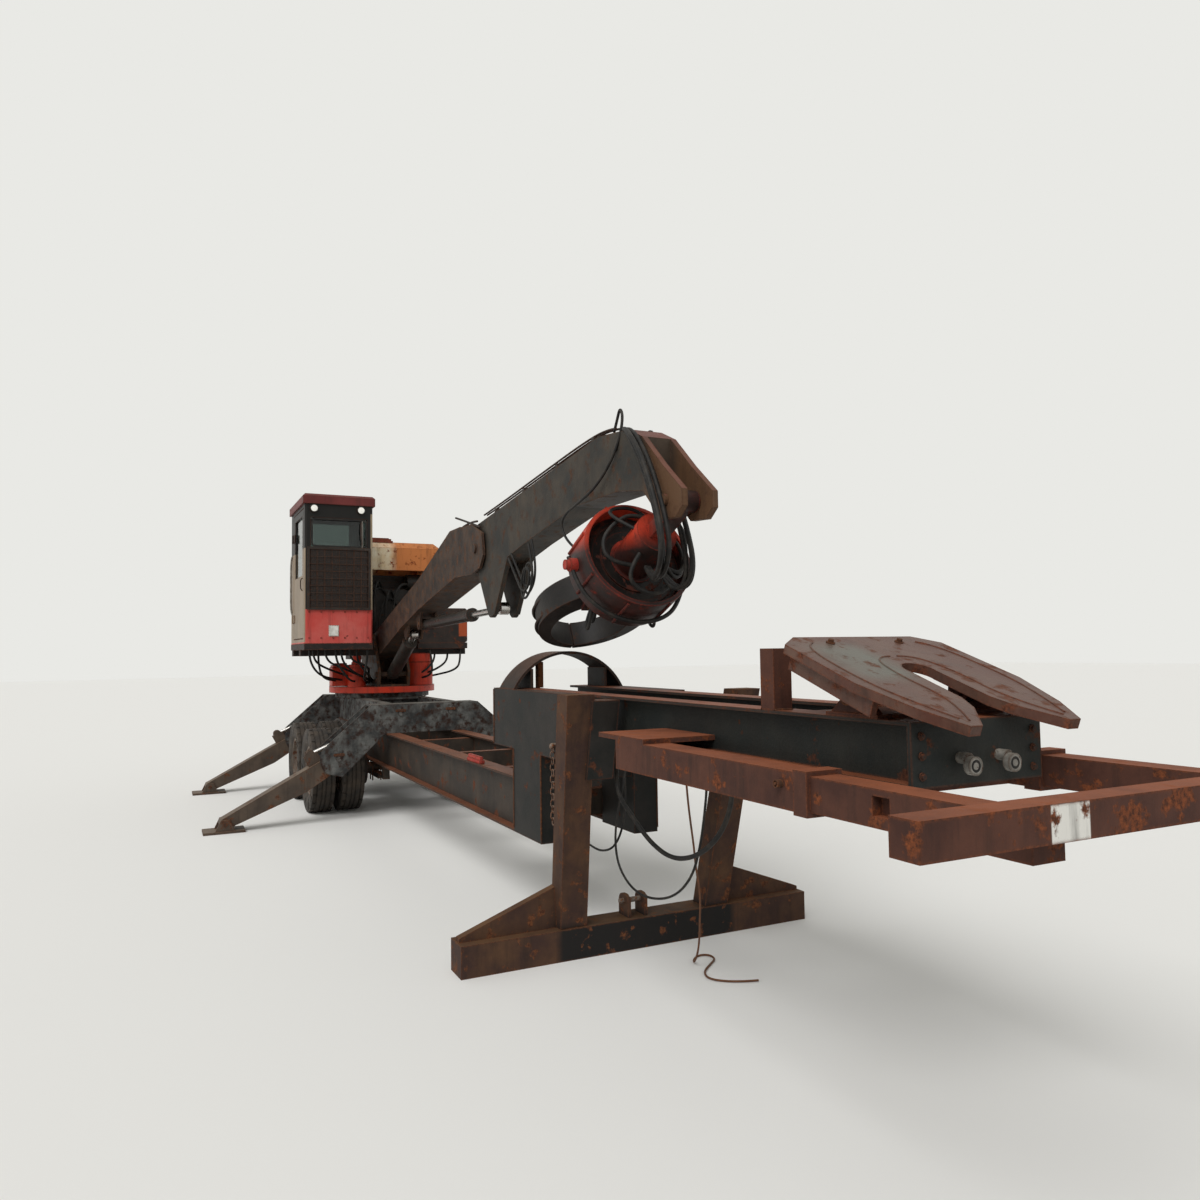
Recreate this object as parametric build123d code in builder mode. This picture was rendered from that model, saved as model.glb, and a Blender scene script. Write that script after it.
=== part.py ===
from build123d import *
from math import atan2, cos, degrees, hypot, pi, radians, sin, tan
import os

os.makedirs("parts", exist_ok=True)

# A knuckleboom log loader on its gooseneck trailer, parked on its front stand and its
# outriggers, in millimetres. X runs forward to the bumper, Y to the left and Z up. The
# origin lies on the ground under the middle of the machine.

# Stations along the trailer, counted from the slewing axis
slew_x = -4650.0
rear_x = slew_x - 1900.0
neck_rear_x = slew_x + 6020.0
column_rear_x = slew_x + 6450.0
column_front_x = slew_x + 6980.0
neck_front_x = slew_x + 7400.0
goose_front_x = slew_x + 10300.0
bumper_front_x = slew_x + 11200.0
front_outrigger_x = slew_x + 2150.0
rear_outrigger_x = slew_x - 950.0
front_axle_x = slew_x + 1350.0
rear_axle_x = slew_x + 150.0

# Lower rails, neck and gooseneck
rail_outer_y = 460.0
rail_low_z = 570.0
rail_top_z = 976.0
flange_width = 150.0
flange_thickness = 16.0
web_thickness = 10.0
neck_low_z = 1180.0
goose_outer_y = 350.0
goose_low_z = 1370.0
goose_top_z = 1620.0
front_plate_thickness = 20.0
crossmember_width = 90.0
crossmember_height = 200.0

# Side tubes with the bumper that telescopes in them
tube_outer_y = 700.0
tube_size = 150.0
tube_wall = 8.0
tube_low_z = 1285.0
tube_rear_x = slew_x + 8600.0
tube_front_x = slew_x + 10160.0
collar_length = 80.0
collar_margin = 10.0
slide_clearance = 0.5
inner_tube_overlap = 700.0
bumper_half_width = 1210.0
bumper_height = 105.0
bumper_depth = 102.0
bumper_low_z = 1375.0
bumper_wall = 8.0
arm_slot_x = (slew_x + 10480, slew_x + 10560)
arm_slot_z = (1333.0, 1401.0)

# Front stand
stand_foot_x = slew_x + 7560.0
stand_rake = 330.0
stand_lean = 80.0
stand_leg_y = 520.0
stand_leg_width = 180.0
stand_leg_depth = 150.0
stand_half_base = 1250.0
stand_base_height = 190.0
stand_base_depth = 200.0
gusset_height = 260.0
gusset_thickness = 60.0
stand_low_z = 130.0
stand_top_z = 1640.0
bracket_margin = 20.0
bracket_outer_y = 530.0
bracket_low_z = 1120.0

# Portal, coupling plate and its bracket
portal_x = slew_x + 9450.0
portal_tube = 100.0
portal_top_z = 1900.0
plate_pivot_x = slew_x + 10000.0
plate_pivot_z = 1710.0
plate_tilt = 20.0
plate_half_width = 455.0
plate_rear = 420.0
plate_outline = ((-420.0, 345.0), (-330.0, 455.0), (120.0, 455.0), (380.0, 380.0), (545.0, 290.0))
throat_outline = ((0.0, 72.0), (300.0, 75.0), (393.0, 110.0), (555.0, 240.0))
plate_thickness = 40.0
plate_skirt = 70.0
throat_radius = 75.0
bracket_y = 300.0
bracket_thickness = 40.0
plate_pin_radius = 30.0

# Wheels
tyre_radius = 500.0
tyre_width = 265.0
dual_gap = 75.0
outer_tyre_y = 1215.0
rim_radius = 286.0
hub_radius = 130.0
stub_radius = 35.0
axle_radius = 55.0
drum_radius = 205.0
spring_y = 385.0

# Outriggers, in the plane across the trailer, for one side
pivot_y = 1000.0
pivot_z = 720.0
foot_pivot_y = 2180.0
foot_pivot_z = 95.0
leg_width = 190.0
leg_root_half = 110.0
leg_foot_half = 60.0
leg_belly = 150.0
leg_back = 70.0
beam_depth = 300.0
beam_plate = 20.0
beam_end_radius = 205.0
beam_top_z = 1310.0
leg_eye_reach = 300.0
leg_eye_angle = 10.0
barrel_pin_y = 300.0
barrel_pin_z = 1195.0
pad_length = 420.0
pad_width = 300.0
pad_thickness = 25.0
outrigger_pin_radius = 30.0

# Loader base and superstructure
base_ring_radius = 640.0
base_ring_low_z = beam_top_z
base_ring_top_z = 1375.0
ring_gap = 0.3
ring_radius = 720.0
ring_top_z = 1460.0
mast_plate_y = 215.0
mast_plate_thickness = 35.0
boom_pivot_x = slew_x + 300.0
boom_pivot_z = 2000.0
lift_base_x = slew_x + 620.0
lift_base_z = 1620.0
platform_low_z = 1880.0
platform_top_z = 2040.0

# Cab
cab_rear_x = slew_x - 250.0
cab_front_x = slew_x + 1000.0
cab_right_y = -1200.0
cab_left_y = -345.0
cab_head_z = 3820.0
cab_roof_height = 130.0
cab_wall = 45.0
roof_overhang = 25.0
cab_height = cab_head_z - platform_top_z
guard_low_z = platform_top_z + 0.25 * cab_height
guard_top_z = platform_top_z + 0.69 * cab_height
side_window_low_z = platform_top_z + 0.3 * cab_height
rear_window_low_z = platform_top_z + 0.41 * cab_height
door_window_low_z = platform_top_z + 0.49 * cab_height
window_margin = 75.0
side_window_margin = 90.0
door_rear_x = cab_rear_x + 280.0
door_front_x = cab_front_x - 100.0
door_gap = 8.0
door_frame = 90.0

# Engine hood and oil tank
hood_rear_x = slew_x - 1700.0
hood_front_x = slew_x - 350.0
hood_right_y = -300.0
hood_left_y = 950.0
hood_top_z = 3540.0
hood_bay_top_z = 3120.0
hood_post = 60.0
tank_rear_x = slew_x - 300.0
tank_front_x = slew_x + 620.0
tank_right_y = 350.0
tank_left_y = 1050.0
tank_top_z = 2520.0

# Main boom and stick, in the middle plane
knuckle_x = slew_x + 4680.0
knuckle_z = 2880.0
boom_half_width = 165.0
boom_plate = 25.0
lift_eye_x = slew_x + 1750.0
lift_eye_z = 2130.0
stick_base_x = slew_x + 2350.0
stick_base_z = 2240.0
heel_x = slew_x + 5000.0
heel_z = 2300.0
stick_half_width = 125.0
nose_x = slew_x + 8180.0
nose_z = 2800.0

# Grapple, along its own axis from the nose pin
grapple_direction = 204.7
hanger_length = 420.0
rotator_radius = 140.0
rotator_end = 720.0
tine_pivot_reach = 1130.0
tine_pivot_half = 150.0
tine_tip_reach = 1890.0
tine_bulge = 410.0
tine_depth = 95.0


def at_y(y):
    """The plane that faces right, at the given Y, with X and Z as its own axes."""
    return Plane.XZ.offset(-y)


def box_between(x_range, y_range, z_range, mode=Mode.ADD):
    """A box given by its two ends along each axis."""
    low = [min(r) for r in (x_range, y_range, z_range)]
    high = [max(r) for r in (x_range, y_range, z_range)]
    centre = [(a + b) / 2 for a, b in zip(low, high)]
    with Locations(tuple(centre)):
        Box(high[0] - low[0], high[1] - low[1], high[2] - low[2], mode=mode)


def beam_along_x(x_range, outer_y, z_range, side):
    """An I-beam along the trailer whose outer flange edge lies at outer_y."""
    middle_y = side * (outer_y - flange_width / 2)
    flange_y = (middle_y - flange_width / 2, middle_y + flange_width / 2)
    web_y = (middle_y - web_thickness / 2, middle_y + web_thickness / 2)
    box_between(x_range, flange_y, (z_range[0], z_range[0] + flange_thickness))
    box_between(x_range, flange_y, (z_range[1] - flange_thickness, z_range[1]))
    box_between(x_range, web_y, z_range)


def pin_across(x, z, half_length, radius, mode=Mode.ADD):
    """A round pin or bore along Y."""
    with Locations(Plane((x, 0, z), x_dir=(1, 0, 0), z_dir=(0, 1, 0))):
        Cylinder(radius, 2 * half_length, mode=mode)


def save(solid, name):
    """Names one finished piece and writes its file."""
    solid.label = name
    export_step(solid, f"parts/{name}.step")


# Lower rails: two I-beams and the crossmembers between their webs
crossmember_stations = [rear_x + 60, slew_x - 500, slew_x + 1000, slew_x + 2900, slew_x + 4300, slew_x + 5600]

with BuildPart() as lower_rails:
    for side in (-1, 1):
        beam_along_x((rear_x, column_rear_x), rail_outer_y, (rail_low_z, rail_top_z), side)
    for station in crossmember_stations:
        inner_y = rail_outer_y - flange_width / 2
        cross_z = (rail_top_z - 40 - crossmember_height, rail_top_z - 40)
        box_between((station - crossmember_width / 2, station + crossmember_width / 2), (-inner_y, inner_y), cross_z)
    hose_cross_x = (column_rear_x - 15 - crossmember_width, column_rear_x - 15)
    box_between(hose_cross_x, (-inner_y, inner_y), (rail_low_z + 60, rail_low_z + 260))
save(lower_rails.part, "lower_rails")

# Neck: a column at the end of each rail and the deep side box above it
column_width = 190.0
side_plate = 20.0

with BuildPart() as neck:
    for side in (-1, 1):
        column_y = (side * rail_outer_y, side * (rail_outer_y - column_width))
        box_between((column_rear_x, column_front_x), column_y, (rail_low_z, neck_low_z))
        plate_y = (side * rail_outer_y, side * (rail_outer_y - side_plate))
        box_between((neck_rear_x, neck_front_x), plate_y, (neck_low_z, goose_top_z))
        box_y = (side * rail_outer_y, side * goose_outer_y)
        top_z = (goose_top_z - flange_thickness, goose_top_z)
        box_between((neck_rear_x, neck_front_x), box_y, top_z)
        for station in (neck_rear_x, neck_front_x - side_plate):
            box_between((station, station + side_plate), box_y, (neck_low_z, goose_top_z))
        floor_y = (side * rail_outer_y, side * (goose_outer_y - flange_width))
        floor_z = (neck_low_z, neck_low_z + flange_thickness)
        box_between((neck_rear_x, neck_front_x), floor_y, floor_z)
    cross_x = (column_front_x - 125, column_front_x - 125 + crossmember_width)
    cross_y = rail_outer_y - column_width + 10
    box_between(cross_x, (-cross_y, cross_y), (neck_low_z - crossmember_height, neck_low_z))
save(neck.part, "neck")

# Gooseneck: two I-beams, their crossmembers and the closed front plate
goose_stations = [neck_rear_x + 300, slew_x + 7900, slew_x + 8700, slew_x + 9300]

with BuildPart() as gooseneck:
    for side in (-1, 1):
        beam_along_x((neck_rear_x, goose_front_x), goose_outer_y, (goose_low_z, goose_top_z), side)
    for station in goose_stations:
        inner_y = goose_outer_y - flange_width / 2
        box_between((station - 40, station + 40), (-inner_y, inner_y), (goose_low_z + 20, goose_top_z - 60))
    box_between((goose_front_x, goose_front_x + front_plate_thickness), (-goose_outer_y, goose_outer_y), (goose_low_z, goose_top_z))
    box_between((slew_x + 9600, goose_front_x), (-goose_outer_y + flange_width, goose_outer_y - flange_width), (goose_top_z - 12, goose_top_z))
save(gooseneck.part, "gooseneck")

# Gladhand couplings on the front plate, a pair of like pieces
gladhand_y = 105.0
gladhand_z = 1475.0

with BuildPart() as gladhands:
    for side in (-1, 1):
        front = goose_front_x + front_plate_thickness
        with Locations(Plane((front, side * gladhand_y, gladhand_z), x_dir=(0, 1, 0), z_dir=(1, 0, 0))):
            Cylinder(22, 50, align=(Align.CENTER, Align.CENTER, Align.MIN))
        with Locations(Plane((front + 50, side * gladhand_y, gladhand_z - 25), x_dir=(0, 1, 0), z_dir=(1, 0, 0))):
            Cylinder(36, 28, align=(Align.CENTER, Align.CENTER, Align.MIN))
save(gladhands.part, "gladhands")

# Side tubes: hollow, on cross tubes under the gooseneck, with a collar at the front
tube_cross_stations = [slew_x + 8700, slew_x + 9950]
hanger_x = (slew_x + 8440, slew_x + 8560)
hanger_flange_x = (slew_x + 8400, slew_x + 8900)
hanger_flange = 25.0
tube_centre_y = tube_outer_y - tube_size / 2
tube_centre_z = tube_low_z + tube_size / 2
tube_bore = tube_size - 2 * tube_wall

with BuildPart() as side_tubes:
    for side in (-1, 1):
        tube_y = (side * tube_outer_y, side * (tube_outer_y - tube_size))
        box_between((tube_rear_x, tube_front_x), tube_y, (tube_low_z, tube_low_z + tube_size))
        collar_y = (side * (tube_outer_y + collar_margin), side * (tube_outer_y - tube_size - collar_margin))
        collar_z = (tube_low_z - collar_margin, tube_low_z + tube_size + collar_margin)
        box_between((tube_front_x - collar_length, tube_front_x), collar_y, collar_z)
        hanger_y = (side * goose_outer_y, side * (tube_outer_y - tube_size))
        box_between(hanger_x, hanger_y, (tube_low_z, tube_low_z + tube_size))
        flange_y = (side * (goose_outer_y - flange_width / 2 + web_thickness / 2), side * tube_outer_y)
        flange_z = (tube_low_z + tube_size, tube_low_z + tube_size + hanger_flange)
        box_between(hanger_flange_x, flange_y, flange_z)
    for station in tube_cross_stations:
        cross_y = tube_outer_y - tube_size
        box_between((station - 40, station + 40), (-cross_y, cross_y), (tube_low_z, goose_low_z))
    for side in (-1, 1):
        bore_y = (side * (tube_centre_y + tube_bore / 2), side * (tube_centre_y - tube_bore / 2))
        bore_z = (tube_centre_z - tube_bore / 2, tube_centre_z + tube_bore / 2)
        box_between((tube_rear_x - 10, tube_front_x + 10), bore_y, bore_z, Mode.SUBTRACT)
save(side_tubes.part, "side_tubes")

# Bumper: a hollow cross tube and the two arms that slide in the side tubes
with BuildPart() as bumper:
    bumper_rear_x = bumper_front_x - bumper_depth
    inner_tube_size = tube_bore - 2 * slide_clearance
    bumper_z = (bumper_low_z, bumper_low_z + bumper_height)
    box_between((bumper_rear_x, bumper_front_x), (-bumper_half_width, bumper_half_width), bumper_z)
    box_between(
        (bumper_rear_x + bumper_wall, bumper_front_x - bumper_wall),
        (-bumper_half_width + bumper_wall, bumper_half_width - bumper_wall),
        (bumper_z[0] + bumper_wall, bumper_z[1] - bumper_wall),
        Mode.SUBTRACT,
    )
    for side in (-1, 1):
        arm_y = (side * (tube_centre_y + inner_tube_size / 2), side * (tube_centre_y - inner_tube_size / 2))
        arm_z = (tube_centre_z - inner_tube_size / 2, tube_centre_z + inner_tube_size / 2)
        box_between((tube_front_x - inner_tube_overlap, bumper_rear_x), arm_y, arm_z)
        slot_y = (side * (tube_outer_y + 5), side * (tube_outer_y - 50))
        box_between(arm_slot_x, slot_y, arm_slot_z, Mode.SUBTRACT)
save(bumper.part, "bumper")

# Front stand: two raked legs on a long base beam, a gusset outside each leg
stand_height = stand_top_z - stand_low_z


def stand_leg(side, mode=Mode.ADD):
    """One leg: its level section drawn out along the slant of the leg."""
    slant = Vector(stand_rake, side * stand_lean, stand_height)
    with BuildSketch(Plane((stand_foot_x, side * stand_leg_y, stand_low_z))) as section:
        Rectangle(stand_leg_depth, stand_leg_width)
    extrude(section.sketch, amount=slant.length, dir=slant, mode=mode)


with BuildPart() as stand:
    base_x = (stand_foot_x - stand_base_depth / 2, stand_foot_x + stand_base_depth / 2)
    box_between(base_x, (-stand_half_base, stand_half_base), (0, stand_base_height))
    for side in (-1, 1):
        stand_leg(side)
        inner_y = stand_leg_y + stand_leg_width / 2 - 10
        with BuildSketch(Plane.YZ.offset(stand_foot_x)):
            with BuildLine():
                Polyline(
                    (side * inner_y, stand_base_height - 5),
                    (side * inner_y, stand_base_height + gusset_height),
                    (side * (stand_half_base - 10), stand_base_height + 25),
                    (side * (stand_half_base - 10), stand_base_height - 5),
                    close=True,
                )
            make_face()
        extrude(amount=gusset_thickness / 2, both=True)
save(stand.part, "stand")

# Stand brackets: a raked block on each side of the gooseneck that the leg is let into
bracket_top_z = goose_top_z - flange_thickness - 2
bracket_half = stand_leg_depth / 2 + bracket_margin
bracket_low_x = stand_foot_x + stand_rake * (bracket_low_z - stand_low_z) / stand_height
bracket_top_x = stand_foot_x + stand_rake * (bracket_top_z - stand_low_z) / stand_height

with BuildPart() as stand_brackets:
    for side in (-1, 1):
        middle_y = side * (bracket_outer_y + goose_outer_y) / 2
        with BuildSketch(at_y(middle_y)):
            with BuildLine():
                Polyline(
                    (bracket_low_x - bracket_half, bracket_low_z),
                    (bracket_low_x + bracket_half, bracket_low_z),
                    (bracket_top_x + bracket_half, bracket_top_z),
                    (bracket_top_x - bracket_half, bracket_top_z),
                    close=True,
                )
            make_face()
        extrude(amount=(bracket_outer_y - goose_outer_y) / 2, both=True)
        stand_leg(side, Mode.SUBTRACT)
save(stand_brackets.part, "stand_brackets")

# Portal of square tube on the gooseneck
with BuildPart() as portal:
    portal_x_range = (portal_x - portal_tube / 2, portal_x + portal_tube / 2)
    for side in (-1, 1):
        post_y = (side * goose_outer_y, side * (goose_outer_y - portal_tube))
        box_between(portal_x_range, post_y, (goose_top_z, portal_top_z))
    box_between(portal_x_range, (-goose_outer_y, goose_outer_y), (portal_top_z - portal_tube, portal_top_z))
save(portal.part, "portal")

# Coupling bracket: two ears on the gooseneck that carry the plate's pin
with BuildPart() as coupling_bracket:
    box_between((plate_pivot_x - 150, plate_pivot_x + 150), (-goose_outer_y, goose_outer_y), (goose_top_z, goose_top_z + 16))
    for side in (-1, 1):
        with BuildSketch(at_y(side * (bracket_y + bracket_thickness / 2))):
            with BuildLine():
                Polyline(
                    (plate_pivot_x - 130, goose_top_z + 15),
                    (plate_pivot_x + 130, goose_top_z + 15),
                    (plate_pivot_x + 45, plate_pivot_z),
                    (plate_pivot_x - 45, plate_pivot_z),
                    close=True,
                )
            make_face()
            with Locations((plate_pivot_x, plate_pivot_z)):
                Circle(45)
        extrude(amount=bracket_thickness / 2, both=True)
        with Locations(Plane((plate_pivot_x, side * (bracket_y - 5), plate_pivot_z), x_dir=(1, 0, 0), z_dir=(0, 1, 0))):
            Cylinder(plate_pin_radius, 130)
save(coupling_bracket.part, "coupling_bracket")

# Coupling plate: horseshoe top with a throat to the front, skirt ribs and pin lugs
plate_plane = Plane(
    (plate_pivot_x, 0, plate_pivot_z),
    x_dir=(cos(radians(plate_tilt)), 0, -sin(radians(plate_tilt))),
    z_dir=(sin(radians(plate_tilt)), 0, cos(radians(plate_tilt))),
)
plate_top = 100.0

with BuildPart() as coupling_plate:
    with BuildSketch(plate_plane.offset(plate_top - plate_thickness)):
        with BuildLine():
            Polyline(*plate_outline, *((u, -v) for u, v in reversed(plate_outline)), close=True)
        make_face()
        Circle(throat_radius, mode=Mode.SUBTRACT)
        with BuildLine():
            Polyline(*throat_outline, *((u, -v) for u, v in reversed(throat_outline)), close=True)
        make_face(mode=Mode.SUBTRACT)
    extrude(amount=plate_thickness)
    for side in (-1, 1):
        with BuildSketch(plate_plane.offset(plate_top - plate_thickness - plate_skirt)):
            with Locations((-60, side * (plate_half_width - 50))):
                Rectangle(520, 30)
            with Locations((-plate_rear + 60, 0)):
                Rectangle(30, 2 * plate_half_width - 260)
        extrude(amount=plate_skirt)
        lug_y = side * (bracket_y - 30)
        with BuildSketch(at_y(lug_y)):
            with Locations((plate_pivot_x, plate_pivot_z)):
                Circle(55)
                with Locations(Location((0, 0), -plate_tilt)):
                    Rectangle(110, plate_top - plate_thickness + 5, align=(Align.CENTER, Align.MIN))
        extrude(amount=20, both=True)
    pin_across(plate_pivot_x, plate_pivot_z, goose_outer_y, plate_pin_radius + 0.5, Mode.SUBTRACT)
save(coupling_plate.part, "coupling_plate")

# Grapple saddle: an arched plate across the neck that the tines rest behind
saddle_rear_x = slew_x + 6150.0
saddle_front_x = slew_x + 6460.0
saddle_rise = 280.0
saddle_half = 460.0
saddle_plate = 20.0

with BuildPart() as grapple_saddle:
    with BuildSketch(Plane.YZ.offset(saddle_rear_x)):
        with BuildLine():
            ThreePointArc((-saddle_half, goose_top_z), (0, goose_top_z + saddle_rise), (saddle_half, goose_top_z))
            Line((saddle_half, goose_top_z), (saddle_half - saddle_plate, goose_top_z))
            ThreePointArc(
                (saddle_half - saddle_plate, goose_top_z),
                (0, goose_top_z + saddle_rise - saddle_plate),
                (-saddle_half + saddle_plate, goose_top_z),
            )
            Line((-saddle_half + saddle_plate, goose_top_z), (-saddle_half, goose_top_z))
        make_face()
    extrude(amount=saddle_front_x - saddle_rear_x)
    for side in (-1, 1):
        box_between((saddle_rear_x, saddle_front_x), (side * 300, side * 318), (goose_top_z, goose_top_z + 150))
save(grapple_saddle.part, "grapple_saddle")

# Outrigger beams: two side plates with a gull-wing outline, the top and bottom plates that
# lie between them, and a round pin for each leg and cylinder
beam_shoulder_y = 640.0
weld_gap = 0.5
barrel_pin_radius = 25.0
beam_pins = ((pivot_y, pivot_z, outrigger_pin_radius), (barrel_pin_y, barrel_pin_z, barrel_pin_radius))
beam_end_top = (pivot_y + beam_end_radius * 0.75, pivot_z + beam_end_radius * 0.66)
beam_end_far = (pivot_y + beam_end_radius, pivot_z)
beam_end_under = (pivot_y + beam_end_radius * 0.6, pivot_z - beam_end_radius * 0.8)
beam_end_low = (pivot_y - 40, pivot_z - beam_end_radius)

outrigger_stations = {"front": front_outrigger_x, "rear": rear_outrigger_x}

for beam_name, station in outrigger_stations.items():
    with BuildPart() as outrigger_beam:
        for plate_x in (station - beam_depth / 2, station + beam_depth / 2 - beam_plate):
            for side in (-1, 1):
                with BuildSketch(Plane.YZ.offset(plate_x)):
                    with BuildLine():
                        Polyline(
                            (side * beam_end_low[0], beam_end_low[1]),
                            (side * (rail_outer_y + 20), rail_top_z),
                            (0, rail_top_z),
                            (0, beam_top_z),
                            (side * beam_shoulder_y, beam_top_z),
                            (side * beam_end_top[0], beam_end_top[1]),
                        )
                        ThreePointArc(
                            (side * beam_end_top[0], beam_end_top[1]),
                            (side * beam_end_far[0], beam_end_far[1]),
                            (side * beam_end_under[0], beam_end_under[1]),
                        )
                        Line(
                            (side * beam_end_under[0], beam_end_under[1]),
                            (side * beam_end_low[0], beam_end_low[1]),
                        )
                    make_face()
                extrude(amount=beam_plate)
        inner_half = beam_depth / 2 - beam_plate - weld_gap
        between_plates = (station - inner_half, station + inner_half)
        box_between(between_plates, (-beam_shoulder_y, beam_shoulder_y), (beam_top_z - beam_plate, beam_top_z))
        box_between(between_plates, (-rail_outer_y, rail_outer_y), (rail_top_z, rail_top_z + beam_plate))
        for side in (-1, 1):
            for pin_y, pin_z, pin_radius in beam_pins:
                with Locations(Plane((station, side * pin_y, pin_z), x_dir=(0, 1, 0), z_dir=(1, 0, 0))):
                    Cylinder(pin_radius + weld_gap, beam_depth + 30, mode=Mode.SUBTRACT)
                    Cylinder(pin_radius, beam_depth + 30)
    save(outrigger_beam.part, f"outrigger_beam_{beam_name}")

# Loader base: a box frame between the outriggers with the fixed part of the slew ring
with BuildPart() as loader_base:
    base_x = (rear_outrigger_x + beam_depth / 2, front_outrigger_x - beam_depth / 2)
    for side in (-1, 1):
        box_between(base_x, (side * 450, side * 330), (rail_top_z, beam_top_z))
    for station in (slew_x - 560, slew_x + 560):
        box_between((station - 60, station + 60), (-340, 340), (rail_top_z, beam_top_z))
    box_between((slew_x - 700, slew_x + 700), (-450, 450), (beam_top_z - 25, beam_top_z))
    with Locations((slew_x, 0, base_ring_low_z)):
        Cylinder(base_ring_radius, base_ring_top_z - base_ring_low_z, align=(Align.CENTER, Align.CENTER, Align.MIN))
save(loader_base.part, "loader_base")

# Axles: beams, brake drums and hub stubs, carried by the springs
hanger_stations = [rear_axle_x - 560, (rear_axle_x + front_axle_x) / 2, front_axle_x + 560]
wheel_inner_y = outer_tyre_y - 2 * tyre_width - dual_gap

with BuildPart() as axles:
    for station in (rear_axle_x, front_axle_x):
        with Locations(Plane((station, 0, tyre_radius), x_dir=(1, 0, 0), z_dir=(0, 1, 0))):
            Cylinder(axle_radius, 2 * (wheel_inner_y + 20))
        for side in (-1, 1):
            drum_y = side * (wheel_inner_y - 60)
            with Locations(Plane((station, drum_y, tyre_radius), x_dir=(1, 0, 0), z_dir=(0, 1, 0))):
                Cylinder(drum_radius, 60)
            with Locations(Plane((station, side * 850, tyre_radius), x_dir=(1, 0, 0), z_dir=(0, 1, 0))):
                Cylinder(stub_radius, 500)
    # Leaf springs between their hangers under the rails, with the equaliser in the middle
    for side in (-1, 1):
        spring_range = (side * (spring_y - 38), side * (spring_y + 38))
        for station in hanger_stations:
            box_between((station - 45, station + 45), spring_range, (rail_low_z - 110, rail_low_z))
        for station in (rear_axle_x, front_axle_x):
            low = tyre_radius - axle_radius - 62
            box_between((station - 560, station + 560), spring_range, (low + 32, low + 62))
            box_between((station - 300, station + 300), spring_range, (low, low + 34))
        for station in hanger_stations:
            box_between((station - 45, station + 45), spring_range, (tyre_radius - axle_radius - 40, rail_low_z - 105))
save(axles.part, "axles")

# Wheel sets: twin tyres on their rims and hub, one turning body each
outer_centre = outer_tyre_y - tyre_width / 2
inner_centre = outer_centre - tyre_width - dual_gap
wheel_stations = {"rear": rear_axle_x, "front": front_axle_x}

for axle_name, station in wheel_stations.items():
    for side_name, side in (("right", -1), ("left", 1)):
        with BuildPart() as wheel:
            for centre in (outer_centre, inner_centre):
                half = tyre_width / 2
                with BuildSketch(Plane((station, 0, tyre_radius), x_dir=(0, side, 0), z_dir=(side, 0, 0))) as section:
                    with BuildLine():
                        Polyline(
                            (centre - half + 35, rim_radius),
                            (centre - half, rim_radius + 70),
                            (centre - half + 5, tyre_radius - 60),
                            (centre - half + 40, tyre_radius),
                            (centre + half - 40, tyre_radius),
                            (centre + half - 5, tyre_radius - 60),
                            (centre + half, rim_radius + 70),
                            (centre + half - 35, rim_radius),
                            (centre + half - 35, rim_radius - 25),
                            (centre - half + 35, rim_radius - 25),
                            close=True,
                        )
                    make_face()
                revolve(axis=Axis((station, 0, tyre_radius), (0, 1, 0)))
            middle = (outer_centre + inner_centre) / 2
            with Locations(Plane((station, side * middle, tyre_radius), x_dir=(1, 0, 0), z_dir=(0, 1, 0))):
                Cylinder(rim_radius - 20, 165)
            with Locations(Plane((station, side * (middle + 60), tyre_radius), x_dir=(1, 0, 0), z_dir=(0, 1, 0))):
                Cylinder(hub_radius, 300)
            with Locations(Plane((station, side * (middle + 130), tyre_radius), x_dir=(1, 0, 0), z_dir=(0, 1, 0))):
                Cylinder(90, 250)
            with Locations(Plane((station, side * 850, tyre_radius), x_dir=(1, 0, 0), z_dir=(0, 1, 0))):
                Cylinder(stub_radius + 0.5, 700, mode=Mode.SUBTRACT)
        save(wheel.part, f"wheel_{axle_name}_{side_name}")

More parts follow.
